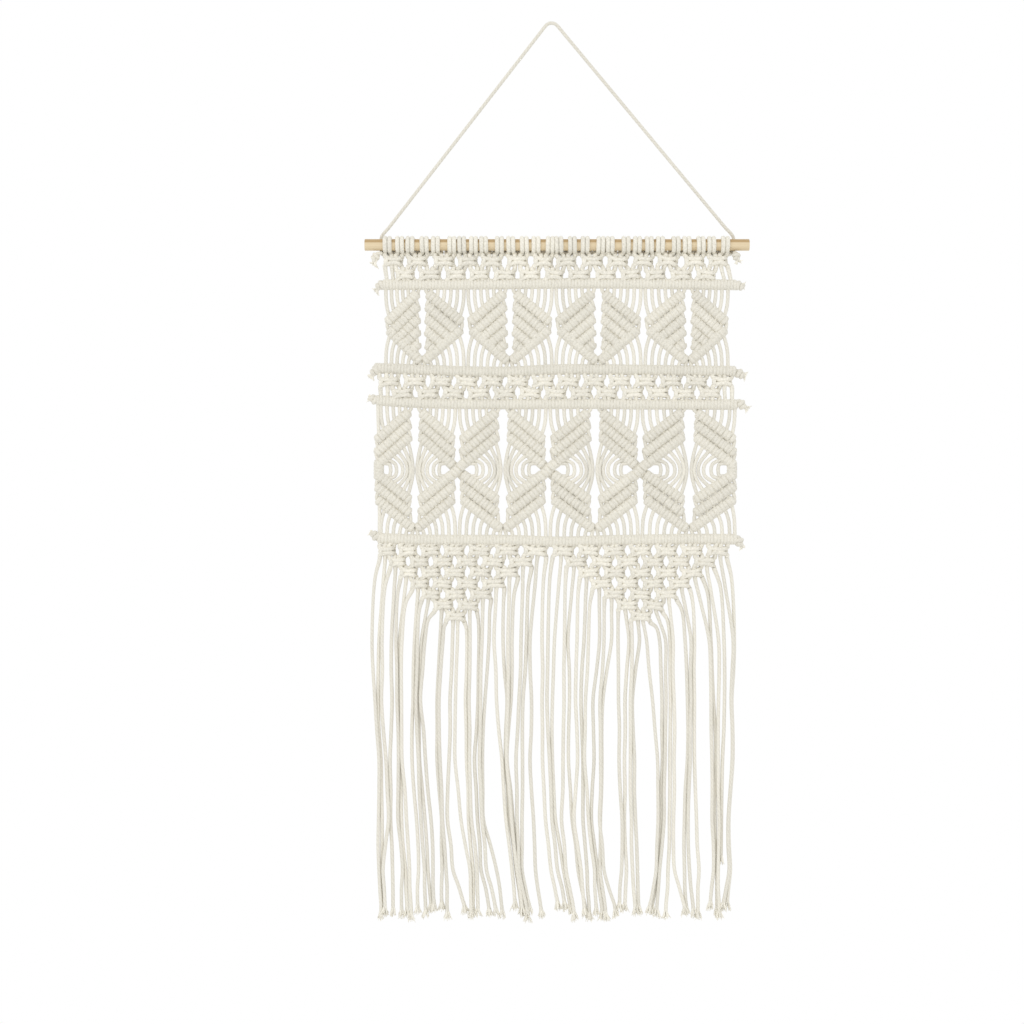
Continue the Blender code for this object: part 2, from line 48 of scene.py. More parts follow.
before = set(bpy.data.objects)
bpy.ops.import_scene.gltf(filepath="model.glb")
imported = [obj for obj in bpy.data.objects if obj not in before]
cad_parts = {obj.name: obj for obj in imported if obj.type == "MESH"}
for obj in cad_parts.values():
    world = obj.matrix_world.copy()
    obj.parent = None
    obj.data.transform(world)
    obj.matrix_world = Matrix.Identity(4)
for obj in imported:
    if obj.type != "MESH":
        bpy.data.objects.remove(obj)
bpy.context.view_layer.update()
ROD_LOW, ROD_HIGH = (Vector(corner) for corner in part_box("rod"))
ROD_CENTRE = (ROD_LOW + ROD_HIGH) / 2
ROD_RADIUS = (ROD_HIGH.z - ROD_LOW.z) / 2
MM = 0.001

# The photograph: the size of one of its pixels on the hanging, and the pixels of two places in it.
PIXEL = 0.0010403
APEX_PIXEL = (551.5, 24.8)
MIDDLE_PIXEL = (512.0, 512.0)
PICTURE_WIDTH = 1024

CORDS = 56
CORDS_PER_KNOT = 4
CORDS_PER_LEAF = 7

# Hanging cord, as in the part: its bend over the nail, its ties behind and under the rod.
HANGING_RADIUS = 0.0018
APEX_BEND = 0.0080
APEX_POINTS = 4
TIE_LEFT_X = -0.1773
TIE_RIGHT_X = 0.1898
LEG_END = 0.0090
LEG_POINTS = 20
TIE_STEP = math.pi / 6
TIE_STEPS = 3
CLEARANCE = 0.0003
TIE_REACH = (ROD_RADIUS + CLEARANCE + HANGING_RADIUS) / math.cos(TIE_STEP / 2)
TIE_END = 0.0010

HANGING_STEP = 0.0012          # longest step of its path, for its plies
HANGING_SIDES = 9

# Tails of the hanging cord below the rod: the middle of the knot and the tip, outwards and down, in mm.
Tail = namedtuple("Tail", "node tie_x outwards knot tip")
TAILS = (
    Tail("cord_tail_left", TIE_LEFT_X, -1, (5.4, 4.4), (6.8, 12.5)),
    Tail("cord_tail_right", TIE_RIGHT_X, 1, (2.2, 3.4), (3.6, 10.0)),
)
TAIL_DEPTH = 2.4               # in mm, how far in front of the tie they hang
TAIL_START = ((0.0, 0.0012, 0.0), (0.0, -0.0012, -0.0004))    # its first places, from the tie
TAIL_KNOT = 0.9                # thickness of the cord in the knot, and of the fray, as shares of the cord's
TAIL_FRAY = 1.15

# Where a knotted end is cut, as a share of the way from knot to tip, and how long it frays, of the rest.
Cut = namedtuple("Cut", "place fray")
TAIL_CUT = Cut(0.75, 1.6)
BAR_CUT = Cut(0.7, 1.5)
BAR_INNER = 0.8                # how far a bar's end reaches into its row, as a share of the way to its knot

# One strand of a heading loop, in mm from the rod's axis: the arm that leaves the bight behind, and the
# end that comes down through it. Between them the strand goes round the rod, under, in front and over.
Turn = namedtuple("Turn", "aside back up full", defaults=(1.0,))
BIGHT_ARM = (Turn(0.0, 11.2, -4.4), Turn(2.8, 10.6, -4.8), Turn(5.7, 8.2, -6.2), Turn(5.7, 4.8, -8.6),
             Turn(3.4, 2.0, -9.2))
LOOP_ARC = range(0, 271, 45)
LOOP_PRESSED = 0.5             # how far a strand's axis stays off the rod, as a share of its thickness
LOOP_ASIDE = 2.3
LOOP_TILT = 0.5                # in mm, how far a loop may lean aside over the rod
LOOP_END = (Turn(1.9, 7.4, -3.6), Turn(1.9, 4.6, -8.6))

# Middles of the loops, in pixels; two of them hold each knot of the top row.
LOOPS = (387.5, 400.0, 410.0, 424.5, 435.5, 452.0, 462.0, 473.5, 484.0, 499.5, 511.0, 524.5, 536.0, 550.0,
         559.0, 572.5, 585.0, 600.5, 610.0, 626.0, 637.0, 649.5, 660.0, 676.0, 687.0, 701.0, 711.5, 725.0)

# Left working cord of a square knot, in mm from the knot's middle: its upper half, which its lower mirrors.
KNOT_TURNS = (
    Turn(-7.2, -1.0, 5.4), Turn(-7.0, -1.8, 3.9), Turn(-4.9, -2.9, 2.4), Turn(-1.6, -3.4, 1.5),
    Turn(1.8, -3.4, 1.4), Turn(4.1, -2.6, 1.9), Turn(5.4, -0.4, 2.5), Turn(5.9, 2.6, 2.2),
    Turn(6.1, 4.0, 1.3), Turn(6.1, 4.2, 0.0),
)
KNOT_REACH = 7.2
KNOT_FILLERS = (Turn(1.8, -0.8, 4.8), Turn(2.6, -0.8, 0.6, 1.45), Turn(1.8, -0.8, -3.6))
KNOT_HOLE = 1.8                # in pixels, the gap between two knots of a row at its narrowest
KNOT_TILT = 0.10               # how far a knot may hang askew, in radians
KNOT_UNEVEN = 0.35             # how far a turn of a knot may lie out of place, in mm
KNOT_STRAY = (0.4, 0.3)        # in pixels, how far a whole knot may, aside and up

# Bands of square knots, in pixels: the height of each row, and how tall in mm half a knot is tied.
KnotBand = namedtuple("KnotBand", "levels half_height")
TOP_BAND = KnotBand((261.3, 274.8), 6.7)
MIDDLE_BAND = KnotBand((381.5, 393.2), 6.1)
MIDDLE_KNOTS = np.linspace(389.5, 722.3, 14)

# Filler bars, in pixels: ends of the hitched stretch, its heights at even steps from end to end, and the
# knot and tip beyond each end.
Bar = namedtuple("Bar", "node left right heights left_knot left_tip right_knot right_tip")
BARS = (
    Bar("filler_bar_1", 384.5, 735.0, (284.6, 284.6, 284.3, 283.9, 283.4, 283.3, 283.7, 284.3, 284.9),
        (381.0, 285.5), (375.5, 291.0), (738.5, 285.5), (744.0, 286.0)),
    Bar("filler_bar_2", 376.5, 734.0, (368.2, 369.8, 371.5, 371.8, 369.5, 369.5, 370.0, 370.7, 371.2),
        (375.5, 371.0), (371.0, 377.5), (739.5, 373.5), (745.5, 375.5)),
    Bar("filler_bar_3", 378.0, 735.0, (400.4, 402.9, 403.8, 404.1, 403.8, 403.8, 404.3, 404.4, 404.6),
        (374.8, 399.8), (369.0, 398.0), (741.0, 404.0), (747.5, 409.0)),
    Bar("filler_bar_4", 379.5, 735.0, (538.3, 539.8, 540.0, 540.2, 541.8, 540.6, 539.7, 539.0, 539.3),
        (375.8, 536.2), (370.0, 533.0), (739.0, 541.0), (742.5, 547.5)),
)

# Hitched rows of the leaves: where the leading cord starts and ends, as the share of the half motif from
# its outer side and the pixel row, and how many cords it takes in.
LeafRow = namedtuple("LeafRow", "share y share_2 y_2 hitches")
UPPER_EDGES = (384.0, 466.0, 554.0, 643.0, 730.0)
UPPER_SLITS = (422.0, 509.5, 598.0, 688.5)
UPPER_ROWS = (
    LeafRow(0.87, 293.5, 0.10, 322.0, 6), LeafRow(0.88, 306.3, 0.20, 332.0, 5),
    LeafRow(0.88, 319.0, 0.33, 339.5, 4), LeafRow(0.88, 331.5, 0.50, 345.5, 3),
    LeafRow(0.88, 344.5, 0.67, 352.0, 2), LeafRow(0.12, 329.5, 0.95, 361.0, 6),
)
LOWER_EDGES = (372.5, 457.3, 548.0, 640.0, 739.5)
LOWER_SLITS = (415.0, 503.0, 595.0, 689.0)
LOWER_ROWS = (
    LeafRow(0.85, 412.5, 0.11, 440.0, 6), LeafRow(0.86, 424.5, 0.10, 453.0, 6),
    LeafRow(0.87, 436.5, 0.11, 465.0, 6),
)
LOWER_RETURNS = (
    LeafRow(0.11, 474.0, 0.87, 500.0, 6), LeafRow(0.10, 486.0, 0.87, 513.0, 6),
    LeafRow(0.11, 499.0, 0.95, 528.6, 6),
)
LEAF_SPREAD = 1.03             # how much wider a half motif's cords spread on a bar than in its rows
ROW_TURN = 0.01                # how far past a row's ends its leading cord turns, as a share of the row
ROW_INSET = 0.045              # how far inside a row's ends its first and last wraps lie, as a share of it
LEAF_HANG = (0.22, 0.5, 0.6)   # how a leaf's cord hangs from its bar: shares of its way aside, back and down
LINE_RADIUS = 0.001            # of the bare line of a row, which its wraps hide
FIELD_Y = 470.0                # half way down the loose cords between the upper and lower leaves
FIELD_SHARES = (0.40, 0.54, 0.69, 0.80, 0.885, 0.945)
FIELD_ARC = 5.5                # in pixels, half the height over which those cords hang straight
CROSSING_REACH = 6.5           # in pixels, half the size of the hitches where two motifs' outer cords cross
CROSSING_DEPTHS = (-1.0, 2.5)  # in mm, of the cord that crosses in front and of the one behind
EDGE_SHARE = 0.15              # where the outer cords turn at the sides of the net
EDGE_REACH = 6.5               # in pixels, half the height of the hitches there

# Knot triangles, in pixels: the first knot and how the pitch grows, from left to right; then the rows.
Triangle = namedtuple("Triangle", "node first pitch growth")
TRIANGLES = (
    Triangle("knot_triangle_left", 387.0, 20.33, 0.722),
    Triangle("knot_triangle_right", 563.0, 25.83, 0.0),
)
TRIANGLE_ROWS = 7
TRIANGLE_BAND = KnotBand([551.0 + 10.84 * row for row in range(TRIANGLE_ROWS)], 6.0)

# How a cord drops below its last knot: shares of its way to its first charted place, aside, back and down.
WORKER_HANG = (0.62, 0.5, 0.25)
FILLER_HANG = (0.35, 0.5, 0.35)

# Fringe cords, in pixels: where each hangs at these heights, and last the height of its tip.
FRINGE_LEVELS = (640, 700, 760, 820, 870, 905)
FRINGE_WAVER = 0.7             # in pixels, how far a cord strays half way between two of them
PASSING = 2.05                 # in cord radii, how far apart the axes of two cords are that pass each other
LEAST_DEPTH = 0.3              # in pixels, how far in front or behind a cord hangs at least
TIP_ROOM = 4                   # in pixels, how far above its tip a cord still follows its charted places
CUT_ROOM = 2                   # in pixels, how far above its cut it does
TIP_LEAN = 0.6                 # how much of its lean a cord keeps in its tip
FRINGE_LEFT = (
    (372, 375, 379, 378.5, 379, 381, 919.5), (379, 378, 381, 382, 382, 384, 916),
    (382, 381.5, 386, 388.5, 383, 385, 914.6), (391.5, 392, 390, 390.5, 392.5, 393, 916),
    (396, 397, 398.5, 398, 402.5, 401.5, 918), (399.5, 400, 400.5, 401.5, 405.5, 407, 918),
    (402, 401.5, 402, 406.5, 409.5, 411, 920.8), (414.5, 413, 412, 416.5, 418.5, 417.5, 914),
    (417.5, 416, 418.5, 421, 424.5, 425.5, 917.7), (421.5, 418.5, 419.5, 425, 428, 431, 912),
    (425, 420.5, 425.5, 431, 433, 434, 912), (440, 437, 437, 441.5, 442, 441.5, 910),
    (443, 439, 440, 442.5, 446, 447, 919.5), (452.5, 450, 449, 447.5, 453, 464, 914),
    (457.5, 455.5, 455, 461, 470, 471, 918.6), (467, 465.5, 466.5, 468.5, 473, 473, 916),
    (470, 469, 469.5, 471.5, 477, 478, 916.8), (479, 478, 474.5, 477.5, 481, 488.5, 916.8),
    (482, 480.5, 479.5, 482, 486.5, 495, 916), (489, 485, 482.5, 483.5, 496.5, 501.5, 918.6),
    (494, 496.5, 502, 506, 512, 515, 910), (503, 507, 505.5, 509.5, 516, 521, 915),
    (508, 508, 506.5, 511.5, 517, 522, 916), (512, 511, 507, 513, 518, 524, 917),
    (521, 519, 516, 517, 519, 526, 922), (526.5, 523, 522.5, 522, 522, 529, 915),
    (530, 531.5, 530, 533.5, 535.5, 540.5, 917.7), (542, 542, 542.5, 545.5, 551, 558, 910),
)
FRINGE_RIGHT = (
    (548, 547, 549.5, 552, 557.5, 565, 910.5), (554.5, 552.5, 552.5, 555.5, 563.5, 570, 915),
    (564.5, 564, 563, 561.5, 566, 573, 920.8), (568, 569.5, 568.5, 572, 578, 585, 917),
    (577, 575.5, 577.5, 574, 581, 584, 916), (584, 581, 583, 583, 587, 589, 920.8),
    (588.5, 585.5, 584.5, 588.5, 594.5, 596, 916), (599.5, 593, 594, 591.5, 597.5, 601.5, 920),
    (604, 600, 600.5, 599.5, 604, 614.5, 917.7), (611.5, 603, 602, 600.5, 600, 605, 920.8),
    (618, 618.5, 619, 622, 621.5, 619.5, 911.5), (629, 625, 624.5, 624.5, 626.5, 625, 911.5),
    (632, 630.5, 630.5, 631.5, 632.5, 635, 915.3), (639.5, 632.5, 634.5, 635.5, 637.5, 638.5, 914),
    (646.5, 652.5, 657.5, 658, 656, 650, 914.4), (659.5, 662, 662.5, 661, 658, 652.5, 913),
    (665.5, 666, 665, 664, 659.5, 657, 917.7), (670, 670.5, 670, 669.5, 668, 666, 919.6),
    (673, 674, 674, 673.5, 674.5, 684, 915.3), (685, 687.5, 687.5, 684.5, 684.5, 686, 914),
    (691, 691, 690, 688, 689.5, 693, 917), (694.5, 694.5, 694.5, 696.5, 699, 698, 919.1),
    (709, 711, 712, 712, 713.5, 710, 909.6), (711, 713.5, 716, 715, 717, 717, 916),
    (718.5, 718.5, 718, 719, 718, 719, 918.7), (724, 724.5, 722.5, 721.5, 723, 723, 864),
    (733, 731, 732, 728, 729, 723, 910.5), (734.5, 732, 733, 729, 730.5, 727, 910.5),
)

CORE_REACH = 0.9               # how far into a wrap's cord the core of a hitched row reaches sideways
WRAP_STEPS = 12
WRAP_SIDES = 7
WRAP_UNEVEN = 0.12             # how much a wrap's width and depth vary, and over what scale
WRAP_UNEVEN_SCALE = 160.0

# Noises of the materials: scale and detail, and roughness where it isn't 0.5.
FIBRE_NOISE = (1.6, 4.0, 0.6)
CLOUD_NOISE = (38.0, 3.0)
FUZZ_NOISE = (620.0, 2.0)
GRAIN_BEND_NOISE = (1.0, 2.0)
GRAIN_NOISE = (1.0, 5.0, 0.65)
FLOOR_NOISE = (3.0, 2.0)

# Looks of the cotton: how much its plies show, which also sets how much painted shade darkens the grooves
# between them; how light it is, with knots and combed-out ends painted lighter to offset the shade that falls
# on them; and how mottled by stray fibres.
CottonLook = namedtuple("CottonLook", "plies lightness mottle")
COTTON_LOOKS = {
    "plied_cotton": CottonLook(0.55, 0.94, 0.20),
    "wrapped_cotton": CottonLook(0.25, 0.92, 0.30),
    "knotted_cotton": CottonLook(0.40, 0.98, 0.50),
    "combed_cotton": CottonLook(0.0, 1.06, 0.0),
    "twisted_cotton": CottonLook(0.90, 0.92, 0.20),
}

# A cut end that comes undone. Reach is a share of the fray; flare, curl and sizes are in radii of the cord.
Undone = namedtuple("Undone", "count reach flare curl sizes")
FRAYED_PLIES = Undone(3, (0.75, 0.95), (1.2, 2.1), 0.5, (0.62, 0.64, 0.66, 0.50))
FRAYED_FIBRES = Undone(11, (0.8, 1.2), (0.7, 2.8), 0.9, (0.30, 0.30, 0.14))

# An overhand knot: turns of a helix, its place along the cord and its width, in radii of the cord.
OVERHAND_STEPS = 10
OVERHAND_START = 30            # in degrees
OVERHAND_TURN = 60
OVERHAND_TOP = 1.6
OVERHAND_DROP = 0.36
OVERHAND_WIDTH = 1.6
OVERHAND_THICK = 1.25

PLIES = 3
SAMPLE_STEP = 0.0006
MAX_TURN = math.radians(16)    # how far a cord may turn or run between two points of its path
FRAY_TURN = math.radians(25)
MAX_STEP = 0.0040
CORD_SIDES = 8                 # of a cord's section; the finer the cord, the fewer
FRAY_SIDES = 5
FRINGE_FRAY_SIDES = 4
SEED = 7

# The rod's roundness and its broken edges, and the stage: its lights, with their share of the key light's
# power, and its floor.
ROD_SIDES = 64
ROD_EDGE = 0.0005
ROD_SMOOTH = math.radians(50)
Light = namedtuple("Light", "name place size share")
LIGHTS = (Light("key_light", (-1.6, -2.2, 0.9), 1.6, 1.0), Light("fill_light", (1.8, -2.0, -0.3), 2.0, 0.3))
FLOOR_SIZE = 3.0


class CordSettings(bpy.types.PropertyGroup):
    """Sizes and colours of the cotton cord, and the painted shade in the grooves between its plies."""
    radius: FloatProperty(name="Cord radius", description="Radius of a working cord",
                          default=0.0019, min=0.001, max=0.004, precision=4, unit="LENGTH")
    knotted: FloatProperty(name="Knotted radius", description="Radius of a cord flattened in a loop or knot",
                           default=0.0024, min=0.001, max=0.004, precision=4, unit="LENGTH")
    ply_turn: FloatProperty(name="Ply turn", description="Length of cord in which a ply goes round once",
                            default=0.0150, min=0.005, max=0.05, precision=4, unit="LENGTH")
    ply_depth: FloatProperty(name="Ply depth", description="Depth of the grooves between the plies",
                             default=0.00022, min=0.0, max=0.001, precision=5, unit="LENGTH")
    ply_shade: FloatProperty(name="Ply shade", description="How much darker the grooves between plies are",
                             default=0.30, min=0.0, max=1.0, subtype="FACTOR")
    lit: FloatVectorProperty(name="Cotton", description="Colour of the cotton on top of a ply",
                             default=(0.82, 0.79, 0.70), subtype="COLOR", min=0.0, max=1.0)
    # Painted shade: the colour that the grooves between the plies are darkened to, standing in for the shade
    # that falls in them.
    painted_crease_shade: FloatVectorProperty(name="Crease", description="Colour of the cotton between the plies",
                                default=(0.52, 0.47, 0.38), subtype="COLOR", min=0.0, max=1.0)
    fray: FloatProperty(name="Fray", description="Length over which a cut end comes undone",
                        default=0.0085, min=0.0, max=0.05, precision=4, unit="LENGTH")


class HitchSettings(bpy.types.PropertyGroup):
    """Sizes of the double half hitches."""
    row_depth: FloatProperty(name="Row depth", description="From a row's axis to the front of its wraps",
                             default=0.0049, min=0.002, max=0.01, precision=4, unit="LENGTH")
    bar_width: FloatProperty(name="Bar width", description="From a bar's axis to a wrap beside it",
                             default=0.0034, min=0.001, max=0.01, precision=4, unit="LENGTH")
    leaf_width: FloatProperty(name="Leaf width", description="From a leaf row's axis to a wrap beside it",
                              default=0.00275, min=0.001, max=0.01, precision=5, unit="LENGTH")
    bar_radius: FloatProperty(name="Bar radius", description="Radius of the cord in a bar's wraps",
                              default=0.0024, min=0.001, max=0.004, precision=5, unit="LENGTH")
    leaf_radius: FloatProperty(name="Leaf radius", description="Radius of the cord in a leaf's wraps",
                               default=0.0029, min=0.001, max=0.004, precision=5, unit="LENGTH")
    bar_pitch: FloatProperty(name="Bar pitch", description="From one wrap to the next along a bar",
                             default=0.0034, min=0.001, max=0.01, precision=4, unit="LENGTH")
    leaf_pitch: FloatProperty(name="Leaf pitch", description="From one wrap to the next along a leaf's row",
                              default=0.0040, min=0.001, max=0.01, precision=4, unit="LENGTH")
    pairing: FloatProperty(name="Pairing", description="How much the two wraps of a hitch draw together",
                           default=0.03, min=0.0, max=0.3, subtype="FACTOR")
    slant: FloatProperty(name="Slant", description="How much of the advance of a wrap is made behind the row",
                         default=-0.20, min=-1.0, max=1.0, subtype="FACTOR")


class RodSettings(bpy.types.PropertyGroup):
    """Colours of the wooden rod, and the painted shade along its top."""
    pale: FloatVectorProperty(name="Pale wood", description="Colour between the growth lines",
                              default=(0.76, 0.64, 0.44), subtype="COLOR", min=0.0, max=1.0)
    dark: FloatVectorProperty(name="Dark wood", description="Colour of the growth lines",
                              default=(0.46, 0.32, 0.16), subtype="COLOR", min=0.0, max=1.0)
    # Painted shade: how far the upper part of the rod is darkened towards the dark wood colour.
    painted_top_shade: FloatProperty(name="Darker band", description="Depth of the darker band along the upper front",
                         default=0.75, min=0.0, max=1.0, subtype="FACTOR")


class StageSettings(bpy.types.PropertyGroup):
    """Camera, light and floor."""
    lens: FloatProperty(name="Lens", description="Focal length of the camera",
                        default=85.0, min=20.0, max=300.0, unit="CAMERA")
    surround: FloatProperty(name="Surround", description="Strength of the white surround",
                            default=1.0, min=0.0, max=5.0)
    key: FloatProperty(name="Key light", description="Power of the soft light from the front upper left",
                       default=14.0, min=0.0, max=1000.0, unit="POWER")
    floor_drop: FloatProperty(name="Floor", description="Height of the floor below the hanging cord's apex",
                              default=-1.9, unit="LENGTH")


# Node trees.

class Wire:
    """The value of a socket in a node tree. Arithmetic on it adds Math nodes."""

    def __init__(self, graph, socket):
        self.graph = graph
        self.socket = socket

    def other(self, name):
        """Another output of the same node."""
        return Wire(self.graph, self.socket.node.outputs[name])

    def maths(self, operation, *others):
        return self.graph.maths(operation, self, *others)

    def __add__(self, other):
        return self.maths("ADD", other)

    def __radd__(self, other):
        return self.graph.maths("ADD", other, self)

    def __sub__(self, other):
        return self.maths("SUBTRACT", other)

    def __rsub__(self, other):
        return self.graph.maths("SUBTRACT", other, self)

    def __mul__(self, other):
        return self.maths("MULTIPLY", other)

    def __truediv__(self, other):
        return self.maths("DIVIDE", other)

    def __pow__(self, other):
        return self.maths("POWER", other)

    def __abs__(self):
        return self.maths("ABSOLUTE")


class Graph:
    """A node tree that is being built."""

    def __init__(self, tree):
        self.tree = tree

    def node(self, kind, settings=None, inputs=None, output=0):
        """Add a node: its settings first, then values or wires for its sockets; gives one output's wire."""
        node = self.tree.nodes.new(kind)
        for name, value in (settings or {}).items():
            setattr(node, name, value)
        for key, value in (inputs or {}).items():
            if isinstance(value, Wire):
                self.tree.links.new(value.socket, node.inputs[key])
            else:
                node.inputs[key].default_value = value
        return Wire(self, node.outputs[output]) if node.outputs else node

    def maths(self, operation, *values):
        return self.node("ShaderNodeMath", {"operation": operation}, dict(enumerate(values)))

    def vectors(self, operation, *values):
        return self.node("ShaderNodeVectorMath", {"operation": operation}, dict(enumerate(values)))

    def scaled(self, vector, factor):
        return self.node("ShaderNodeVectorMath", {"operation": "SCALE"}, {0: vector, "Scale": factor})

    def vector(self, x, y, z):
        return self.node("ShaderNodeCombineXYZ", None, {0: x, 1: y, 2: z})

    def parts(self, vector):
        x = self.node("ShaderNodeSeparateXYZ", None, {0: vector})
        return x, x.other("Y"), x.other("Z")

    def noise(self, place, scale, detail, roughness=0.5):
        return self.node("ShaderNodeTexNoise", None, {
            "Vector": place, "Scale": scale, "Detail": detail, "Roughness": roughness})

    def named(self, name, kind="FLOAT"):
        return self.node("GeometryNodeInputNamedAttribute", {"data_type": kind}, {"Name": name})

    def mixed(self, factor, colour, colour_2, blend="MIX"):
        """A colour between two; either may be a wire or three numbers."""
        inputs = {0: factor}
        for key, value in ((6, colour), (7, colour_2)):
            inputs[key] = value if isinstance(value, Wire) else (*value, 1.0)
        return self.node("ShaderNodeMix", {"data_type": "RGBA", "blend_type": blend}, inputs, 2)


def new_material(name, roughness, sheen=0.0):
    """An empty procedural material: its graph and its shader, whose constants are set here."""
    material = bpy.data.materials.new(name)
    material.use_nodes = True
    shader = material.node_tree.nodes["Principled BSDF"]
    shader.inputs["Roughness"].default_value = roughness
    shader.inputs["Sheen Weight"].default_value = sheen
    shader.inputs["Specular IOR Level"].default_value = 0.25
    return material, Graph(material.node_tree), shader


def link(graph, wire, shader, name):
    graph.tree.links.new(wire.socket, shader.inputs[name])


def bumped(graph, shader, strength, distance, height):
    bump = graph.node("ShaderNodeBump", None, {"Strength": strength, "Distance": distance, "Height": height})
    link(graph, bump, shader, "Normal")


def attribute(graph, name, output="Fac"):
    return graph.node("ShaderNodeAttribute", {"attribute_name": name}, None, output)


def cotton(name, cords, look):
    """Cotton with fibres along it, and plies that wind round it, with painted shade in the grooves between
    the plies and painted light on knots and combed-out ends.
    """
    material, graph, shader = new_material(name, 0.92, 0.25)
    aside, up, _ = graph.parts(attribute(graph, "around", "Vector"))
    along = attribute(graph, "along")
    tint = attribute(graph, "tint")
    phase = up.maths("ARCTAN2", aside) * PLIES + along * (2 * math.pi * PLIES / cords.ply_turn)
    crest = abs((phase * 0.5).maths("COSINE"))
    place = graph.vector(phase.maths("COSINE") * 3, phase.maths("SINE") * 3, along * 260)
    fibres = graph.noise(place, *FIBRE_NOISE)
    spot = graph.node("ShaderNodeTexCoord", None, None, "Object")
    cloud = graph.noise(spot, *CLOUD_NOISE)
    shade = 0.90 + fibres * 0.20
    # Painted shade: the grooves between the plies are darkened towards the crease shade colour, by the ply
    # shade and by how much the plies show.
    shade = shade * (1.0 - (1.0 - crest) * (cords.ply_shade * look.plies))
    colour = graph.mixed(shade.maths("MINIMUM", 1.0), cords.painted_crease_shade, cords.lit)
    fuzz = graph.noise(spot, *FUZZ_NOISE)
    # Painted light: the lightness lifts knots and combed-out ends to offset the shade they fall in; tint,
    # cloud and fuzz vary the tone at random.
    bright = look.lightness + tint * 0.05 + (cloud - 0.5) * 0.10 + (fuzz - 0.5) * look.mottle
    lit = graph.mixed(1.0, colour, graph.vector(bright, bright, bright), "MULTIPLY")
    link(graph, lit, shader, "Base Color")
    bumped(graph, shader, 0.9, cords.ply_depth, fibres * 0.60 + crest * look.plies)
    return material


def wood(rod):
    """Pale sanded wood: fine growth lines along the rod, with rings on its sawn ends, and painted shade
    darkening its upper part.
    """
    material, graph, shader = new_material("sanded_wood", 0.55)
    x, y, z = graph.parts(graph.node("ShaderNodeTexCoord", None, None, "Object"))
    bend = graph.noise(graph.vector(x * 9, y * 60, z * 60), *GRAIN_BEND_NOISE)
    streaks = graph.noise(graph.vector(x * 14, y * 900, z * 900), *GRAIN_NOISE)
    height = (z - ROD_CENTRE.z) / ROD_RADIUS
    rings = ((height * 4.2 + y * 350 + bend * 3).maths("SINE") * 0.5 + 0.5) ** 2
    # Painted shade: the upper part of the rod, above three tenths of its radius, is darkened.
    band = ((height - 0.30) * 5).maths("MAXIMUM", 0.0).maths("MINIMUM", 1.0) * rod.painted_top_shade
    grain = rings * 0.30 + streaks * 0.60 - 0.15 + band
    colour = graph.mixed(grain.maths("MAXIMUM", 0.0).maths("MINIMUM", 1.0), rod.pale, rod.dark)
    link(graph, colour, shader, "Base Color")
    link(graph, 0.48 + streaks * 0.2, shader, "Roughness")
    bumped(graph, shader, 0.35, 0.0002, streaks)
    return material


def pale_floor():
    material, graph, shader = new_material("pale_floor", 0.85)
    spot = graph.node("ShaderNodeTexCoord", None, None, "Object")
    cloud = graph.noise(spot, *FLOOR_NOISE)
    link(graph, graph.mixed(cloud, (0.86, 0.86, 0.86), (0.89, 0.89, 0.88)), shader, "Base Color")
    return material


# Geometry trees.

def new_tree(name, inputs):
    """A Geometry Nodes tree with the named inputs, and its input and output nodes."""
    tree = bpy.data.node_groups.new(name, "GeometryNodeTree")
    tree.interface.new_socket("Geometry", in_out="INPUT", socket_type="NodeSocketGeometry")
    tree.interface.new_socket("Geometry", in_out="OUTPUT", socket_type="NodeSocketGeometry")
    for label, kind in inputs.items():
        tree.interface.new_socket(label, in_out="INPUT", socket_type=f"NodeSocket{kind}")
    graph = Graph(tree)
    return graph, graph.node("NodeGroupInput")


def stored(graph, geometry, name, value, kind="FLOAT"):
    return graph.node("GeometryNodeStoreNamedAttribute", {"data_type": kind},
                      {"Geometry": geometry, "Name": name, "Value": value})


def round_tube(graph, curve, radius, sides):
    """Sweep a round section along curves, and keep the way round it as an attribute."""
    section = graph.node("GeometryNodeCurvePrimitiveCircle", None, {"Resolution": sides, "Radius": 1.0})
    section = stored(graph, section, "around", graph.node("GeometryNodeInputPosition"), "FLOAT_VECTOR")
    return graph.node("GeometryNodeCurveToMesh", None,
                      {"Curve": curve, "Profile Curve": section, "Scale": radius, "Fill Caps": True})


def finish_tree(graph, source, mesh):
    smooth = graph.node("GeometryNodeSetShadeSmooth", None, {"Geometry": mesh, "Shade Smooth": True})
    real = graph.node("GeometryNodeRealizeInstances", None, {"Geometry": smooth})
    done = graph.node("GeometryNodeSetMaterial", None,
                      {"Geometry": real, "Material": source.other("Material")})
    graph.node("NodeGroupOutput", None, {"Geometry": done})
    return graph.tree


def cord_tree():
    """Cords: a round tube along each chain of points, as thick as its attribute says, grooved by plies."""
    graph, source = new_tree("cords", {
        "Sides": "Int", "Ply Turn": "Float", "Groove": "Float", "Material": "Material"})
    curve = graph.node("GeometryNodeMeshToCurve", None, {"Mesh": source})
    length = graph.node("GeometryNodeSplineParameter", None, None, "Length")
    curve = stored(graph, curve, "along", length)
    mesh = round_tube(graph, curve, graph.named("thickness"), source.other("Sides"))
    aside, up, _ = graph.parts(graph.named("around", "FLOAT_VECTOR"))
    turned = graph.named("along") * (2 * math.pi * PLIES) / source.other("Ply Turn")
    phase = up.maths("ARCTAN2", aside) * PLIES + turned
    depth = (abs((phase * 0.5).maths("COSINE")) - 0.7) * source.other("Groove")
    outwards = graph.scaled(graph.node("GeometryNodeInputNormal"), depth)
    mesh = graph.node("GeometryNodeSetPosition", None, {"Geometry": mesh, "Offset": outwards})
    return finish_tree(graph, source, mesh)


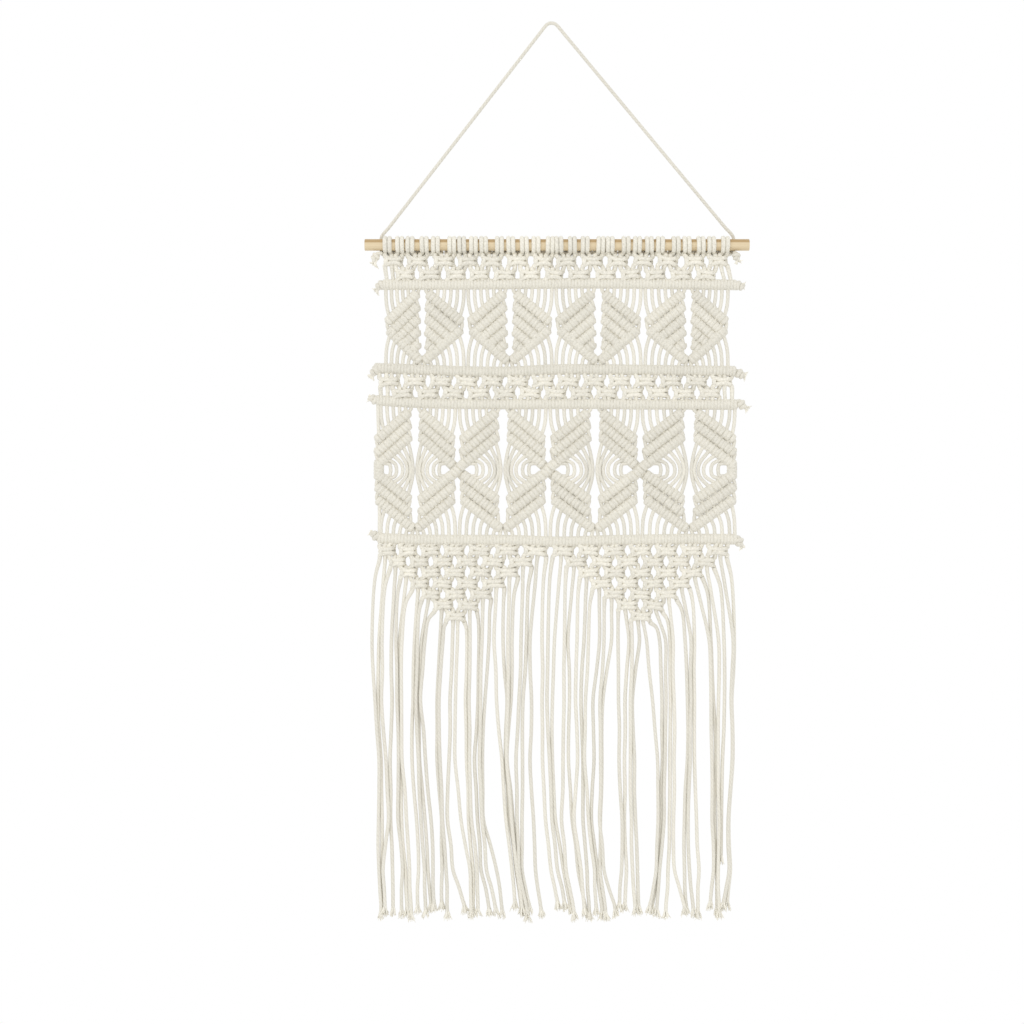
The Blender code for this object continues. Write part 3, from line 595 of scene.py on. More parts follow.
def hitch_tree():
    """Double half hitches: wraps round each chain of points, drawn together in pairs, over a flat core.

    The first and the last wrap end behind the row.
    """
    graph, source = new_tree("hitches", {
        "Rib Pitch": "Float", "Wrap Depth": "Float", "Wrap Width": "Float", "Rib Radius": "Float",
        "Pairing": "Float", "Slant": "Float", "Steps": "Int", "Sides": "Int", "Material": "Material"})
    pitch, deep, wide = source.other("Rib Pitch"), source.other("Wrap Depth"), source.other("Wrap Width")
    curve = graph.node("GeometryNodeMeshToCurve", None, {"Mesh": source})
    length = graph.node("GeometryNodeSplineLength")
    curve = stored(graph, curve, "ribs", (length / (pitch * 2)).maths("ROUND") * 2 + 1)
    fine = graph.node("GeometryNodeResampleCurve", {"mode": "LENGTH"},
                      {"Curve": curve, "Length": pitch / source.other("Steps")})
    share = graph.node("GeometryNodeSplineParameter")
    turns = share * graph.named("ribs")
    tangent = graph.node("GeometryNodeInputTangent")
    front = (0.0, -1.0, 0.0)
    side = graph.vectors("NORMALIZE", graph.vectors("CROSS_PRODUCT", tangent, front))
    place = graph.node("GeometryNodeInputPosition")
    uneven = graph.noise(place, WRAP_UNEVEN_SCALE, 1.0) * WRAP_UNEVEN + (1.0 - WRAP_UNEVEN / 2)
    angle = turns * (2 * math.pi) + math.pi
    cosine, sine = angle.maths("COSINE"), angle.maths("SINE")
    out = graph.vectors("ADD", graph.scaled(front, cosine * deep * uneven),
                        graph.scaled(side, sine * wide * uneven))
    lean = (turns * math.pi).maths("SINE") * source.other("Pairing") * 2 + sine * source.other("Slant")
    lean = lean + share - 0.5
    shift = graph.vectors("ADD", out, graph.scaled(tangent, lean * pitch))
    wraps = graph.node("GeometryNodeSetPosition", None, {"Geometry": fine, "Offset": shift})
    wraps = stored(graph, wraps, "along", graph.node("GeometryNodeSplineParameter", None, None, "Length"))
    ribbed = round_tube(graph, wraps, source.other("Rib Radius"), source.other("Sides"))
    parts = graph.node("GeometryNodeJoinGeometry", None, {"Geometry": ribbed})
    for sign in (-1, 1):
        beside = graph.scaled(side, (wide + source.other("Rib Radius") * CORE_REACH - deep) * sign)
        strand = graph.node("GeometryNodeSetPosition", None, {"Geometry": curve, "Offset": beside})
        core = round_tube(graph, stored(graph, strand, "along", length), deep, source.other("Sides"))
        graph.tree.links.new(core.socket, parts.socket.node.inputs[0])
    return finish_tree(graph, source, parts)


# Paths.

def at(x, y, depth=0.0):
    """A place in the net from its pixel in the photograph, and its depth in mm, in front where negative."""
    return ((x - APEX_PIXEL[0]) * PIXEL, depth * MM, (APEX_PIXEL[1] - y) * PIXEL)


def between(start, end, share):
    return tuple(a + (b - a) * share for a, b in zip(start, end))


def hung(start, end, shares):
    """A place on the way of a cord that hangs from its start before it turns to its end."""
    return tuple(a + (b - a) * share for a, b, share in zip(start, end, shares))


def sampled(points):
    """Close points on the smooth curve through the given ones; more numbers than three are carried along."""
    points = np.asarray(points, dtype=float)
    ends = (2 * points[0] - points[1], 2 * points[-1] - points[-2])
    knots = np.vstack((ends[0], points, ends[1]))
    result = [points[0]]
    for p0, p1, p2, p3 in zip(knots, knots[1:], knots[2:], knots[3:]):
        t0 = 0.0
        t1 = t0 + max(np.linalg.norm((p1 - p0)[:3]), 1e-6) ** 0.5
        t2 = t1 + max(np.linalg.norm((p2 - p1)[:3]), 1e-6) ** 0.5
        t3 = t2 + max(np.linalg.norm((p3 - p2)[:3]), 1e-6) ** 0.5
        count = max(1, math.ceil((t2 - t1) ** 2 / SAMPLE_STEP))
        t = (t1 + (t2 - t1) * np.arange(1, count + 1) / count)[:, None]
        a1 = ((t1 - t) * p0 + (t - t0) * p1) / (t1 - t0)
        a2 = ((t2 - t) * p1 + (t - t1) * p2) / (t2 - t1)
        a3 = ((t3 - t) * p2 + (t - t2) * p3) / (t3 - t2)
        b1 = ((t2 - t) * a1 + (t - t0) * a2) / (t2 - t0)
        b2 = ((t3 - t) * a2 + (t - t1) * a3) / (t3 - t1)
        result.extend(((t2 - t) * b1 + (t - t1) * b2) / (t2 - t1))
    return np.array(result)


def thinned(points, max_turn=MAX_TURN, max_step=MAX_STEP):
    """The points that a round cord needs: closer where it bends."""
    steps = np.diff(points[:, :3], axis=0)
    lengths = np.linalg.norm(steps, axis=1)
    ways = steps / np.maximum(lengths, 1e-9)[:, None]
    kept, way, run = [0], ways[0], 0.0
    for i in range(1, len(points) - 1):
        run += lengths[i - 1]
        if run > max_step or float(np.dot(way, ways[i])) < math.cos(max_turn):
            kept.append(i)
            way, run = ways[i], 0.0
    return points[kept + [len(points) - 1]]


def cord_path(points, radius, **limits):
    """A smooth cord of one thickness: an array of x, y, z and radius."""
    thick = [(*point[:3], point[3] if len(point) > 3 else radius) for point in points]
    return thinned(sampled(thick), **limits)


def parted(path, place):
    """A cord's path in two, at its point nearest to a place."""
    nearest = int(np.argmin(np.linalg.norm(path[:, :3] - np.array(place[:3]), axis=1)))
    return path[:nearest + 1], path[nearest:]


def chains(name, paths, tints):
    """A mesh of bare edges, one chain for each path, that a geometry tree turns into cords."""
    mesh = bpy.data.meshes.new(name)
    starts = np.cumsum([0] + [len(path) for path in paths])
    edges = [(i, i + 1) for a, b in zip(starts, starts[1:]) for i in range(a, b - 1)]
    everything = np.vstack(paths)
    mesh.from_pydata(everything[:, :3].tolist(), edges, [])
    mesh.attributes.new("thickness", "FLOAT", "POINT").data.foreach_set("value", everything[:, 3])
    spread = np.repeat(tints, [len(path) for path in paths])
    mesh.attributes.new("tint", "FLOAT", "POINT").data.foreach_set("value", spread)
    carrier = bpy.data.objects.new(name, mesh)
    bpy.context.scene.collection.objects.link(carrier)
    return carrier


def plain_mesh(carrier, tree, values):
    """Run a geometry tree on a carrier and keep its result as a plain mesh at the origin."""
    modifier = carrier.modifiers.new(tree.name, "NODES")
    modifier.node_group = tree
    for item in tree.interface.items_tree:
        if item.in_out == "INPUT" and item.name in values:
            modifier[item.identifier] = values[item.name]
    evaluated = carrier.evaluated_get(bpy.context.evaluated_depsgraph_get())
    mesh = bpy.data.meshes.new_from_object(evaluated)
    name = carrier.name
    bpy.data.objects.remove(carrier, do_unlink=True)
    piece = bpy.data.objects.new(name, mesh)
    bpy.context.scene.collection.objects.link(piece)
    if not mesh.polygons:
        raise RuntimeError(f"{name} came out empty")
    return piece


def shared_tree(name, maker):
    return bpy.data.node_groups.get(name) or maker()


def shared_material(name):
    """The cotton of loose cords, tight wraps, knots, combed-out ends or the twisted hanging cord."""
    cords = bpy.context.scene.hanging_cords
    return bpy.data.materials.get(name) or cotton(name, cords, COTTON_LOOKS[name])


def swept(name, paths, sides=CORD_SIDES, groove=0.0, material="plied_cotton", spread=1.0):
    """Cords along the paths, each a little lighter or darker than the next."""
    shades = random.Random(name)
    tints = [shades.uniform(-spread, spread) for _ in paths]
    cords = bpy.context.scene.hanging_cords
    return plain_mesh(chains(name, paths, tints), shared_tree("cords", cord_tree), {
        "Sides": sides, "Ply Turn": cords.ply_turn, "Groove": groove, "Material": shared_material(material)})


def hitched(name, leaders, pitch, width, radius, pairing):
    """Rows of double half hitches over the leading cords."""
    hitches = bpy.context.scene.hanging_hitches
    shades = random.Random(name)
    carrier = chains(name, leaders, [shades.uniform(-0.5, 0.5) for _ in leaders])
    return plain_mesh(carrier, shared_tree("hitches", hitch_tree), {
        "Rib Pitch": pitch, "Wrap Depth": hitches.row_depth - radius, "Wrap Width": width,
        "Rib Radius": radius, "Pairing": pairing, "Slant": hitches.slant,
        "Steps": WRAP_STEPS, "Sides": WRAP_SIDES, "Material": shared_material("wrapped_cotton")})


def leaf_rows(name, leaders):
    hitches = bpy.context.scene.hanging_hitches
    return hitched(name, leaders, hitches.leaf_pitch, hitches.leaf_width, hitches.leaf_radius,
                   hitches.pairing)


def joined(name, parts):
    """One piece from several meshes, which keeps their attributes."""
    with bpy.context.temp_override(active_object=parts[0], object=parts[0], selected_objects=parts,
                                   selected_editable_objects=parts):
        bpy.ops.object.join()
    parts[0].name = name
    parts[0].data.name = name
    return parts[0]


def settle(piece, *nodes, slot="cotton"):
    """A finished piece rides on the hanging and stands for its nodes."""
    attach(piece, "root")
    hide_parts(*nodes)


def crosswise(way):
    """Unit vectors along a way, across it and to its front."""
    way = np.array(way) / np.linalg.norm(way)
    across = np.cross(way, (0.0, -1.0, 0.0))
    across /= np.linalg.norm(across)
    return way, across, np.cross(across, way)


def frayed(end, way, length, radius, chance):
    """A cut end that comes undone: three plies that part, and loose fibres between them."""
    way, across, depth = crosswise(way)
    end = np.array(end)
    strands = []
    start = chance.uniform(0.0, 2 * math.pi)
    plies, fibres = FRAYED_PLIES, FRAYED_FIBRES
    for number in range(plies.count):
        angle = start + 2 * math.pi * number / plies.count
        out = across * math.cos(angle) + depth * math.sin(angle)
        reach = length * chance.uniform(*plies.reach)
        flare = chance.uniform(*plies.flare) * radius
        points = [end - way * 2.5 * radius + out * 0.35 * radius, end + out * 0.55 * radius,
                  end + way * reach * 0.5 + out * (0.3 * radius + 0.5 * flare),
                  end + way * reach + out * flare + across * chance.uniform(-plies.curl, plies.curl) * radius]
        strands.append([(*point, size * radius) for point, size in zip(points, plies.sizes)])
    for _ in range(fibres.count):
        angle = chance.uniform(0.0, 2 * math.pi)
        out = across * math.cos(angle) + depth * math.sin(angle)
        reach = length * chance.uniform(*fibres.reach)
        flare = chance.uniform(*fibres.flare) * radius
        curl = across * chance.uniform(-fibres.curl, fibres.curl) * radius
        points = [end + out * 0.6 * radius, end + way * reach * 0.55 + out * flare * 0.7,
                  end + way * reach + out * flare + curl]
        strands.append([(*point, size * radius) for point, size in zip(points, fibres.sizes)])
    return [cord_path(points, radius, max_turn=FRAY_TURN) for points in strands]


def overhand(middle, way, radius):
    """A small tight knot: through its own middle, back round itself and on."""
    way, across, front = crosswise(way)
    middle = np.array(middle)
    points = [middle - way * 2.2 * radius, middle + way * 1.1 * radius]
    for step in range(OVERHAND_STEPS):
        angle = math.radians(OVERHAND_TURN * step + OVERHAND_START)
        out = across * math.sin(angle) + front * math.cos(angle)
        points.append(middle + way * radius * (OVERHAND_TOP - OVERHAND_DROP * step)
                      + out * radius * OVERHAND_WIDTH)
    points.append(middle + way * 2.6 * radius + front * 0.6 * radius)
    return [(*point, radius * OVERHAND_THICK) for point in points]


# Knots and hitches.

def knot_turns(middle, half_width, half_height, thick, chance):
    """The four cords of a square knot, from left to right: left worker, two fillers, right worker."""
    tilt = chance.uniform(-KNOT_TILT, KNOT_TILT)
    wide = (half_width - thick) / KNOT_REACH
    tall = half_height / KNOT_TURNS[0].up
    left = list(KNOT_TURNS) + [turn._replace(up=-turn.up) for turn in KNOT_TURNS[-2::-1]]
    right = [turn._replace(aside=-turn.aside, back=-turn.back) for turn in left]
    fillers = [[turn._replace(aside=side * turn.aside) for turn in KNOT_FILLERS] for side in (-1, 1)]
    slots = []
    for turns in (left, *fillers, right):
        slot = []
        for turn in turns:
            aside, up = (chance.uniform(-KNOT_UNEVEN, KNOT_UNEVEN) * MM for _ in range(2))
            slot.append((middle[0] + aside + turn.aside * wide + turn.up * tall * tilt,
                         middle[1] + turn.back * MM,
                         middle[2] + up + turn.up * tall - turn.aside * wide * tilt, thick * turn.full))
        slots.append(slot)
    return slots


def tie_band(paths, xs, band, chance):
    """Alternating rows of square knots: each row is set over by two cords and has one knot fewer."""
    thick = bpy.context.scene.hanging_cords.knotted
    pitches = np.gradient(xs)
    for row, level in enumerate(band.levels):
        for knot, (x, pitch) in enumerate(zip(xs, pitches)):
            aside, up = (chance.uniform(-stray, stray) for stray in KNOT_STRAY)
            middle = at(x + aside, level + up)
            half_width = (pitch - KNOT_HOLE) / 2 * PIXEL
            slots = knot_turns(middle, half_width, band.half_height * MM, thick, chance)
            for slot, turns in enumerate(slots):
                paths[2 * row + knot * CORDS_PER_KNOT + slot] += turns
        pitches = np.diff(xs)
        xs = [(a + b) / 2 for a, b in zip(xs, xs[1:])]


def bar_places(bar):
    """Where a bar's heights are charted, from left to right."""
    return np.linspace(bar.left, bar.right, len(bar.heights))


def bar_y(bar, x):
    """Height of a bar at x."""
    return float(np.interp(x, bar_places(bar), bar.heights))


def on_bar(bar, number):
    """Where a cord is hitched on a bar, all cords evenly along it."""
    x = bar.left + (number + 0.5) * (bar.right - bar.left) / CORDS
    return at(x, bar_y(bar, x))


def over_leaf(bar, place, outer, slit):
    """Where a cord of a half motif is hitched on a bar, counted from its outer side."""
    share = 1 - LEAF_SPREAD * (1 - (place + 0.5) / CORDS_PER_LEAF)
    x = min(max(outer + (slit - outer) * share, bar.left), bar.right)
    return at(x, bar_y(bar, x))


def row_place(outer, slit, share, y):
    return at(outer + (slit - outer) * share, y)


def lead(paths, order, row, outer, slit):
    """Lead one cord across its neighbours, which hitch onto it. Gives the new order and the leader's line."""
    start, end = row_place(outer, slit, row.share, row.y), row_place(outer, slit, row.share_2, row.y_2)
    inwards = row.share_2 > row.share
    ordered = order if inwards else order[::-1]
    leader, taken, rest = ordered[0], ordered[1:1 + row.hitches], ordered[1 + row.hitches:]
    for number, cord in enumerate(taken):
        paths[cord].append(between(start, end, (number + 0.5) / row.hitches))
    paths[leader] += [between(start, end, share) for share in (-ROW_TURN, 0.1, 0.5, 0.9, 1.0 + ROW_TURN)]
    after = taken + [leader] + rest
    line = [between(start, end, share) for share in (ROW_INSET, 0.5, 1.0 - ROW_INSET)]
    return (after if inwards else after[::-1]), cord_path(line, LINE_RADIUS)


def halves(edges, slits):
    """The half motifs of a leaf band from left to right: (outer side, slit)."""
    for left, right, slit in zip(edges, edges[1:], slits):
        yield left, slit
        yield right, slit


def leaf_cords(half):
    """Numbers of the cords of a half motif, from its outer side to its slit."""
    cords = list(range(half * CORDS_PER_LEAF, (half + 1) * CORDS_PER_LEAF))
    return cords[::-1] if half % 2 else cords


def hang_from(bar):
    return [[on_bar(bar, number)] for number in range(CORDS)]


def hang_leaves(paths, orders, sides, bar):
    """Bring the cords of each half motif to a bar, in their order from the outer side."""
    for order, (outer, slit) in zip(orders, sides):
        for place, cord in enumerate(order):
            paths[cord].append(over_leaf(bar, place, outer, slit))


def leaf_cord(path, radius):
    """A cord of a leaf band, which leaves its upper and its lower bar a little way down and up."""
    above, below = hung(path[0], path[1], LEAF_HANG), hung(path[-1], path[-2], LEAF_HANG)
    return cord_path([path[0], above, *path[1:-1], below, path[-1]], radius)


def start_leaves(edges, slits, bar):
    """The paths of a leaf band's cords from a bar, the sides of its half motifs, and the cords in each."""
    paths = [[] for _ in range(CORDS)]
    sides = list(halves(edges, slits))
    orders = [leaf_cords(half) for half in range(len(sides))]
    hang_leaves(paths, orders, sides, bar)
    return paths, sides, orders


def lead_rows(paths, orders, half, rows, sides):
    """Lead the rows of a half motif one below the other, and give their lines."""
    lines = []
    for row in rows:
        orders[half], line = lead(paths, orders[half], row, *sides[half])
        lines.append(line)
    return lines


def end_leaves(which, paths, orders, sides, bar, leaders):
    """Bring a leaf band's cords to the bar below it, and make them and its hitched rows one piece."""
    radius = bpy.context.scene.hanging_cords.radius
    hang_leaves(paths, orders, sides, bar)
    parts = [swept(which + "_cords", [leaf_cord(path, radius) for path in paths]),
             leaf_rows(which + "_rows", leaders)]
    nodes = [f"leaf_band_{which}_{number + 1}" for number in range(len(sides) // 2)]
    settle(joined(f"hitched_{which}_leaves", parts), *nodes)


# Pieces.

class HANGING_OT_stage(bpy.types.Operator):
    """Camera, soft studio light, white surround and pale floor"""
    bl_idname = "hanging.stage"
    bl_label = "Stage"

    def execute(self, context):
        stage = context.scene.hanging_stage
        context.scene.view_settings.view_transform = "Standard"
        centre = at(*MIDDLE_PIXEL)
        camera = bpy.data.cameras.new("camera")
        camera.lens = stage.lens
        distance = PICTURE_WIDTH * PIXEL * stage.lens / camera.sensor_width
        self.put(camera, (centre[0], -distance, centre[2]), centre)
        context.scene.camera = bpy.data.objects["camera"]
        for lamp in LIGHTS:
            light = bpy.data.lights.new(lamp.name, "AREA")
            light.size = lamp.size
            light.energy = stage.key * lamp.share
            self.put(light, lamp.place, centre)
        world = bpy.data.worlds.new("white_surround")
        world.use_nodes = True
        background = world.node_tree.nodes["Background"]
        background.inputs["Color"].default_value = (1.0, 1.0, 1.0, 1.0)
        background.inputs["Strength"].default_value = stage.surround
        context.scene.world = world
        bpy.ops.mesh.primitive_plane_add(size=FLOOR_SIZE, location=(centre[0], 0.0, stage.floor_drop))
        floor = context.object
        floor.name = "floor"
        floor.data.materials.append(pale_floor())
        return {"FINISHED"}

    def put(self, data, place, target):
        thing = bpy.data.objects.new(data.name, data)
        thing.location = place
        thing.rotation_euler = (Vector(target) - Vector(place)).to_track_quat("-Z", "Y").to_euler()
        bpy.context.scene.collection.objects.link(thing)


class HANGING_OT_rod(bpy.types.Operator):
    """Wooden rod with sawn, slightly broken edges"""
    bl_idname = "hanging.rod"
    bl_label = "Rod"

    def execute(self, context):
        bpy.ops.mesh.primitive_cylinder_add(
            vertices=ROD_SIDES, radius=ROD_RADIUS, depth=ROD_HIGH.x - ROD_LOW.x, location=ROD_CENTRE,
            rotation=(0.0, math.pi / 2, 0.0))
        rod = context.object
        rod.name = "wooden_rod"
        bpy.ops.object.transform_apply(location=True, rotation=True, scale=True)
        edge = rod.modifiers.new("broken_edge", "BEVEL")
        edge.width = ROD_EDGE
        edge.segments = 2
        edge.limit_method = "ANGLE"
        rod.data.shade_smooth()
        rod.data.set_sharp_from_angle(angle=ROD_SMOOTH)
        rod.data.materials.append(wood(context.scene.hanging_rod))
        settle(rod, "rod", slot="wood")
        return {"FINISHED"}


def leg_route(tie_x):
    """One straight leg of the hanging cord, from just past the apex to just above the back of the rod."""
    side = 1 if tie_x > 0 else -1
    centre_z = HANGING_RADIUS - APEX_BEND
    end = (tie_x, TIE_REACH, ROD_CENTRE.z + LEG_END)
    bend = math.pi / 2 - math.atan2(abs(tie_x), -end[2])
    arc = []
    for i in range(1, APEX_POINTS + 1):
        turn = bend * i / APEX_POINTS
        arc.append((side * APEX_BEND * math.sin(turn), 0.0, centre_z + APEX_BEND * math.cos(turn)))
    return arc + [between(arc[-1], end, i / LEG_POINTS) for i in range(1, LEG_POINTS + 1)]


def tie_route(tie_x):
    """Route behind the rod, round to its underside and a little forwards."""
    points = []
    for i in range(TIE_STEPS + 1):
        turn = TIE_STEP * i
        points.append((tie_x, TIE_REACH * math.cos(turn), ROD_CENTRE.z - TIE_REACH * math.sin(turn)))
    points.append((tie_x, -TIE_END, ROD_CENTRE.z - TIE_REACH))
    return points


class HANGING_OT_hanging_cord(bpy.types.Operator):
    """Hanging cord over the nail, drawn tight between its ties on the rod"""
    bl_idname = "hanging.hanging_cord"
    bl_label = "Hanging cord"

    def execute(self, context):
        cords = context.scene.hanging_cords
        left = leg_route(TIE_LEFT_X) + tie_route(TIE_LEFT_X)
        right = leg_route(TIE_RIGHT_X) + tie_route(TIE_RIGHT_X)
        route = left[::-1] + [(0.0, 0.0, HANGING_RADIUS)] + right
        path = cord_path(route, HANGING_RADIUS, max_step=HANGING_STEP)
        cord = swept("plied_hanging_cord", [path], HANGING_SIDES, cords.ply_depth, "twisted_cotton")
        settle(cord, "hanging_cord")
        length = float(np.linalg.norm(np.diff(path[:, :3], axis=0), axis=1).sum())
        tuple(route[0])
        [tuple(point) for point in path[:, :3]]
        return {"FINISHED"}


class HANGING_OT_tails(bpy.types.Operator):
    """Knotted and frayed ends of the hanging cord, below the rod"""
    bl_idname = "hanging.tails"
    bl_label = "Cord tails"

    def execute(self, context):
        chance = random.Random(SEED)
        for tail in TAILS:
            start = Vector((tail.tie_x, -TIE_END, ROD_CENTRE.z - TIE_REACH))
            knot, tip = (start + Vector((tail.outwards * out * MM, -TAIL_DEPTH * MM, -down * MM))
                         for out, down in (tail.knot, tail.tip))
            way = tip - start
            route = [start + Vector(step) for step in TAIL_START]
            route += overhand(knot, way, HANGING_RADIUS * TAIL_KNOT) + [between(knot, tip, TAIL_CUT.place)]
            rest = (tip - Vector(route[-1])).length
            tufts = frayed(route[-1], way, rest * TAIL_CUT.fray, HANGING_RADIUS * TAIL_FRAY, chance)
            parts = [swept(tail.node + "_plied", [cord_path(route, HANGING_RADIUS)]),
                     swept(tail.node + "_fray", tufts, FRAY_SIDES, material="combed_cotton")]
            settle(joined("knotted_" + tail.node, parts), tail.node)
        return {"FINISHED"}


class HANGING_OT_heading(bpy.types.Operator):
    """Loops over the rod, and the two rows of square knots that hang from them"""
    bl_idname = "hanging.heading"
    bl_label = "Heading and top knots"

    def execute(self, context):
        chance = random.Random(SEED)
        radius, thick = context.scene.hanging_cords.radius, context.scene.hanging_cords.knotted
        paths = []
        for loop in LOOPS:
            tilt = chance.uniform(-LOOP_TILT, LOOP_TILT)
            paths += [self.strand(at(loop, 0.0)[0], side, tilt, thick) for side in (-1, 1)]
        tie_band(paths, [(a + b) / 2 for a, b in zip(LOOPS[::2], LOOPS[1::2])], TOP_BAND, chance)
        for number, path in enumerate(paths):
            path.append(on_bar(BARS[0], number))
        doubled = [cord_path(a[::-1] + b[1:], radius) for a, b in zip(paths[::2], paths[1::2])]
        nodes = [f"heading_loop_{number + 1:02d}" for number in range(len(LOOPS))]
        settle(swept("looped_heading", doubled, material="knotted_cotton"), "knot_band_top", *nodes)
        return {"FINISHED"}

    def strand(self, x, side, tilt, thick):
        """One strand of a loop, from the bight behind the rod to below it; its tilt is in mm."""
        reach = (ROD_RADIUS + thick * LOOP_PRESSED) / MM
        turns = list(BIGHT_ARM)
        for degrees in LOOP_ARC:
            angle = math.radians(degrees)
            lean = side * tilt * (1 - math.cos(angle)) / 2
            turns.append(Turn(LOOP_ASIDE + lean, -reach * math.sin(angle), -reach * math.cos(angle)))
        turns += LOOP_END
        return [(x + side * turn.aside * MM, turn.back * MM, ROD_CENTRE.z + turn.up * MM, thick)
                for turn in turns]


class HANGING_OT_bars(bpy.types.Operator):
    """Four filler cords under their rows of hitches, with a knot and a frayed tip at each end"""
    bl_idname = "hanging.bars"
    bl_label = "Filler bars"

    def execute(self, context):
        chance = random.Random(SEED)
        radius = context.scene.hanging_cords.radius
        for bar in BARS:
            leader = cord_path([at(x, y) for x, y in zip(bar_places(bar), bar.heights)], radius)
            hitches = context.scene.hanging_hitches
            parts = [hitched(bar.node + "_hitches", [leader], hitches.bar_pitch, hitches.bar_width,
                             hitches.bar_radius, 0.0)]
            ends, tufts = [], []
            for start, knot, tip in ((leader[0], bar.left_knot, bar.left_tip),
                                     (leader[-1], bar.right_knot, bar.right_tip)):
                start, knot, tip = np.array(start[:3]), np.array(at(*knot)), np.array(at(*tip))
                inner = start + (start - knot) * BAR_INNER
                way = tip - knot
                route = [tuple(inner)] + overhand(knot, way, radius) + [between(knot, tip, BAR_CUT.place)]
                ends.append(cord_path(route, radius))
                left_over = np.linalg.norm(tip - np.array(route[-1]))
                tufts += frayed(route[-1], way, left_over * BAR_CUT.fray, radius, chance)
            parts += [swept(bar.node + "_ends", ends),
                      swept(bar.node + "_fray", tufts, FRAY_SIDES, material="combed_cotton")]
            settle(joined("hitched_" + bar.node, parts), bar.node)
        return {"FINISHED"}


class HANGING_OT_upper_leaves(bpy.types.Operator):
    """Four motifs of two leaves each, hitched in slanting rows, with loose cords above and below"""
    bl_idname = "hanging.upper_leaves"
    bl_label = "Upper leaves"

    def execute(self, context):
        paths, sides, orders = start_leaves(UPPER_EDGES, UPPER_SLITS, BARS[0])
        leaders = []
        for half in range(len(sides)):
            leaders += lead_rows(paths, orders, half, UPPER_ROWS, sides)
        end_leaves("upper", paths, orders, sides, BARS[1], leaders)
        return {"FINISHED"}


class HANGING_OT_middle_knots(bpy.types.Operator):
    """Two rows of square knots between the second and third bar"""
    bl_idname = "hanging.middle_knots"
    bl_label = "Middle knots"

    def execute(self, context):
        radius = context.scene.hanging_cords.radius
        paths = hang_from(BARS[1])
        tie_band(paths, MIDDLE_KNOTS, MIDDLE_BAND, random.Random(SEED + 1))
        for number, path in enumerate(paths):
            path.append(on_bar(BARS[2], number))
        cords = [cord_path(path, radius) for path in paths]
        settle(swept("tied_middle_band", cords, material="knotted_cotton"), "knot_band_middle")
        return {"FINISHED"}


class HANGING_OT_lower_leaves(bpy.types.Operator):
    """Four motifs with three hitched rows above and below a field of arched loose cords"""
    bl_idname = "hanging.lower_leaves"
    bl_label = "Lower leaves"

    def execute(self, context):
        paths, sides, orders = start_leaves(LOWER_EDGES, LOWER_SLITS, BARS[2])
        leaders = []
        for half in range(len(sides)):
            leaders += lead_rows(paths, orders, half, LOWER_ROWS, sides)
        leaders += self.cross(paths, orders, sides)
        for half, side in enumerate(sides):
            for share, cord in zip(FIELD_SHARES, orders[half][1:]):
                paths[cord] += [row_place(*side, share, FIELD_Y + drop) for drop in (-FIELD_ARC, FIELD_ARC)]
            leaders += lead_rows(paths, orders, half, LOWER_RETURNS, sides)
        end_leaves("lower", paths, orders, sides, BARS[3], leaders)
        return {"FINISHED"}

    def cross(self, paths, orders, sides):
        """Where two motifs meet one's outermost cord is hitched over the other's; at the edges they turn."""
        lines = []
        for half in range(1, len(sides) - 1, 2):
            x = sides[half][0]
            far, near = orders[half][0], orders[half + 1][0]
            for cord, reach, depth in ((near, CROSSING_REACH, CROSSING_DEPTHS[0]),
                                       (far, -CROSSING_REACH, CROSSING_DEPTHS[1])):
                line = [at(x + reach, FIELD_Y - CROSSING_REACH, depth),
                        at(x - reach, FIELD_Y + CROSSING_REACH, depth)]
                paths[cord] += line
                lines.append(cord_path(line, LINE_RADIUS))
            orders[half][0], orders[half + 1][0] = near, far
        for half in (0, len(sides) - 1):
            outer, slit = sides[half]
            line = [row_place(outer, slit, EDGE_SHARE, FIELD_Y + drop) for drop in (-EDGE_REACH, EDGE_REACH)]
            paths[orders[half][0]] += line
            lines.append(cord_path(line, LINE_RADIUS))
        return lines


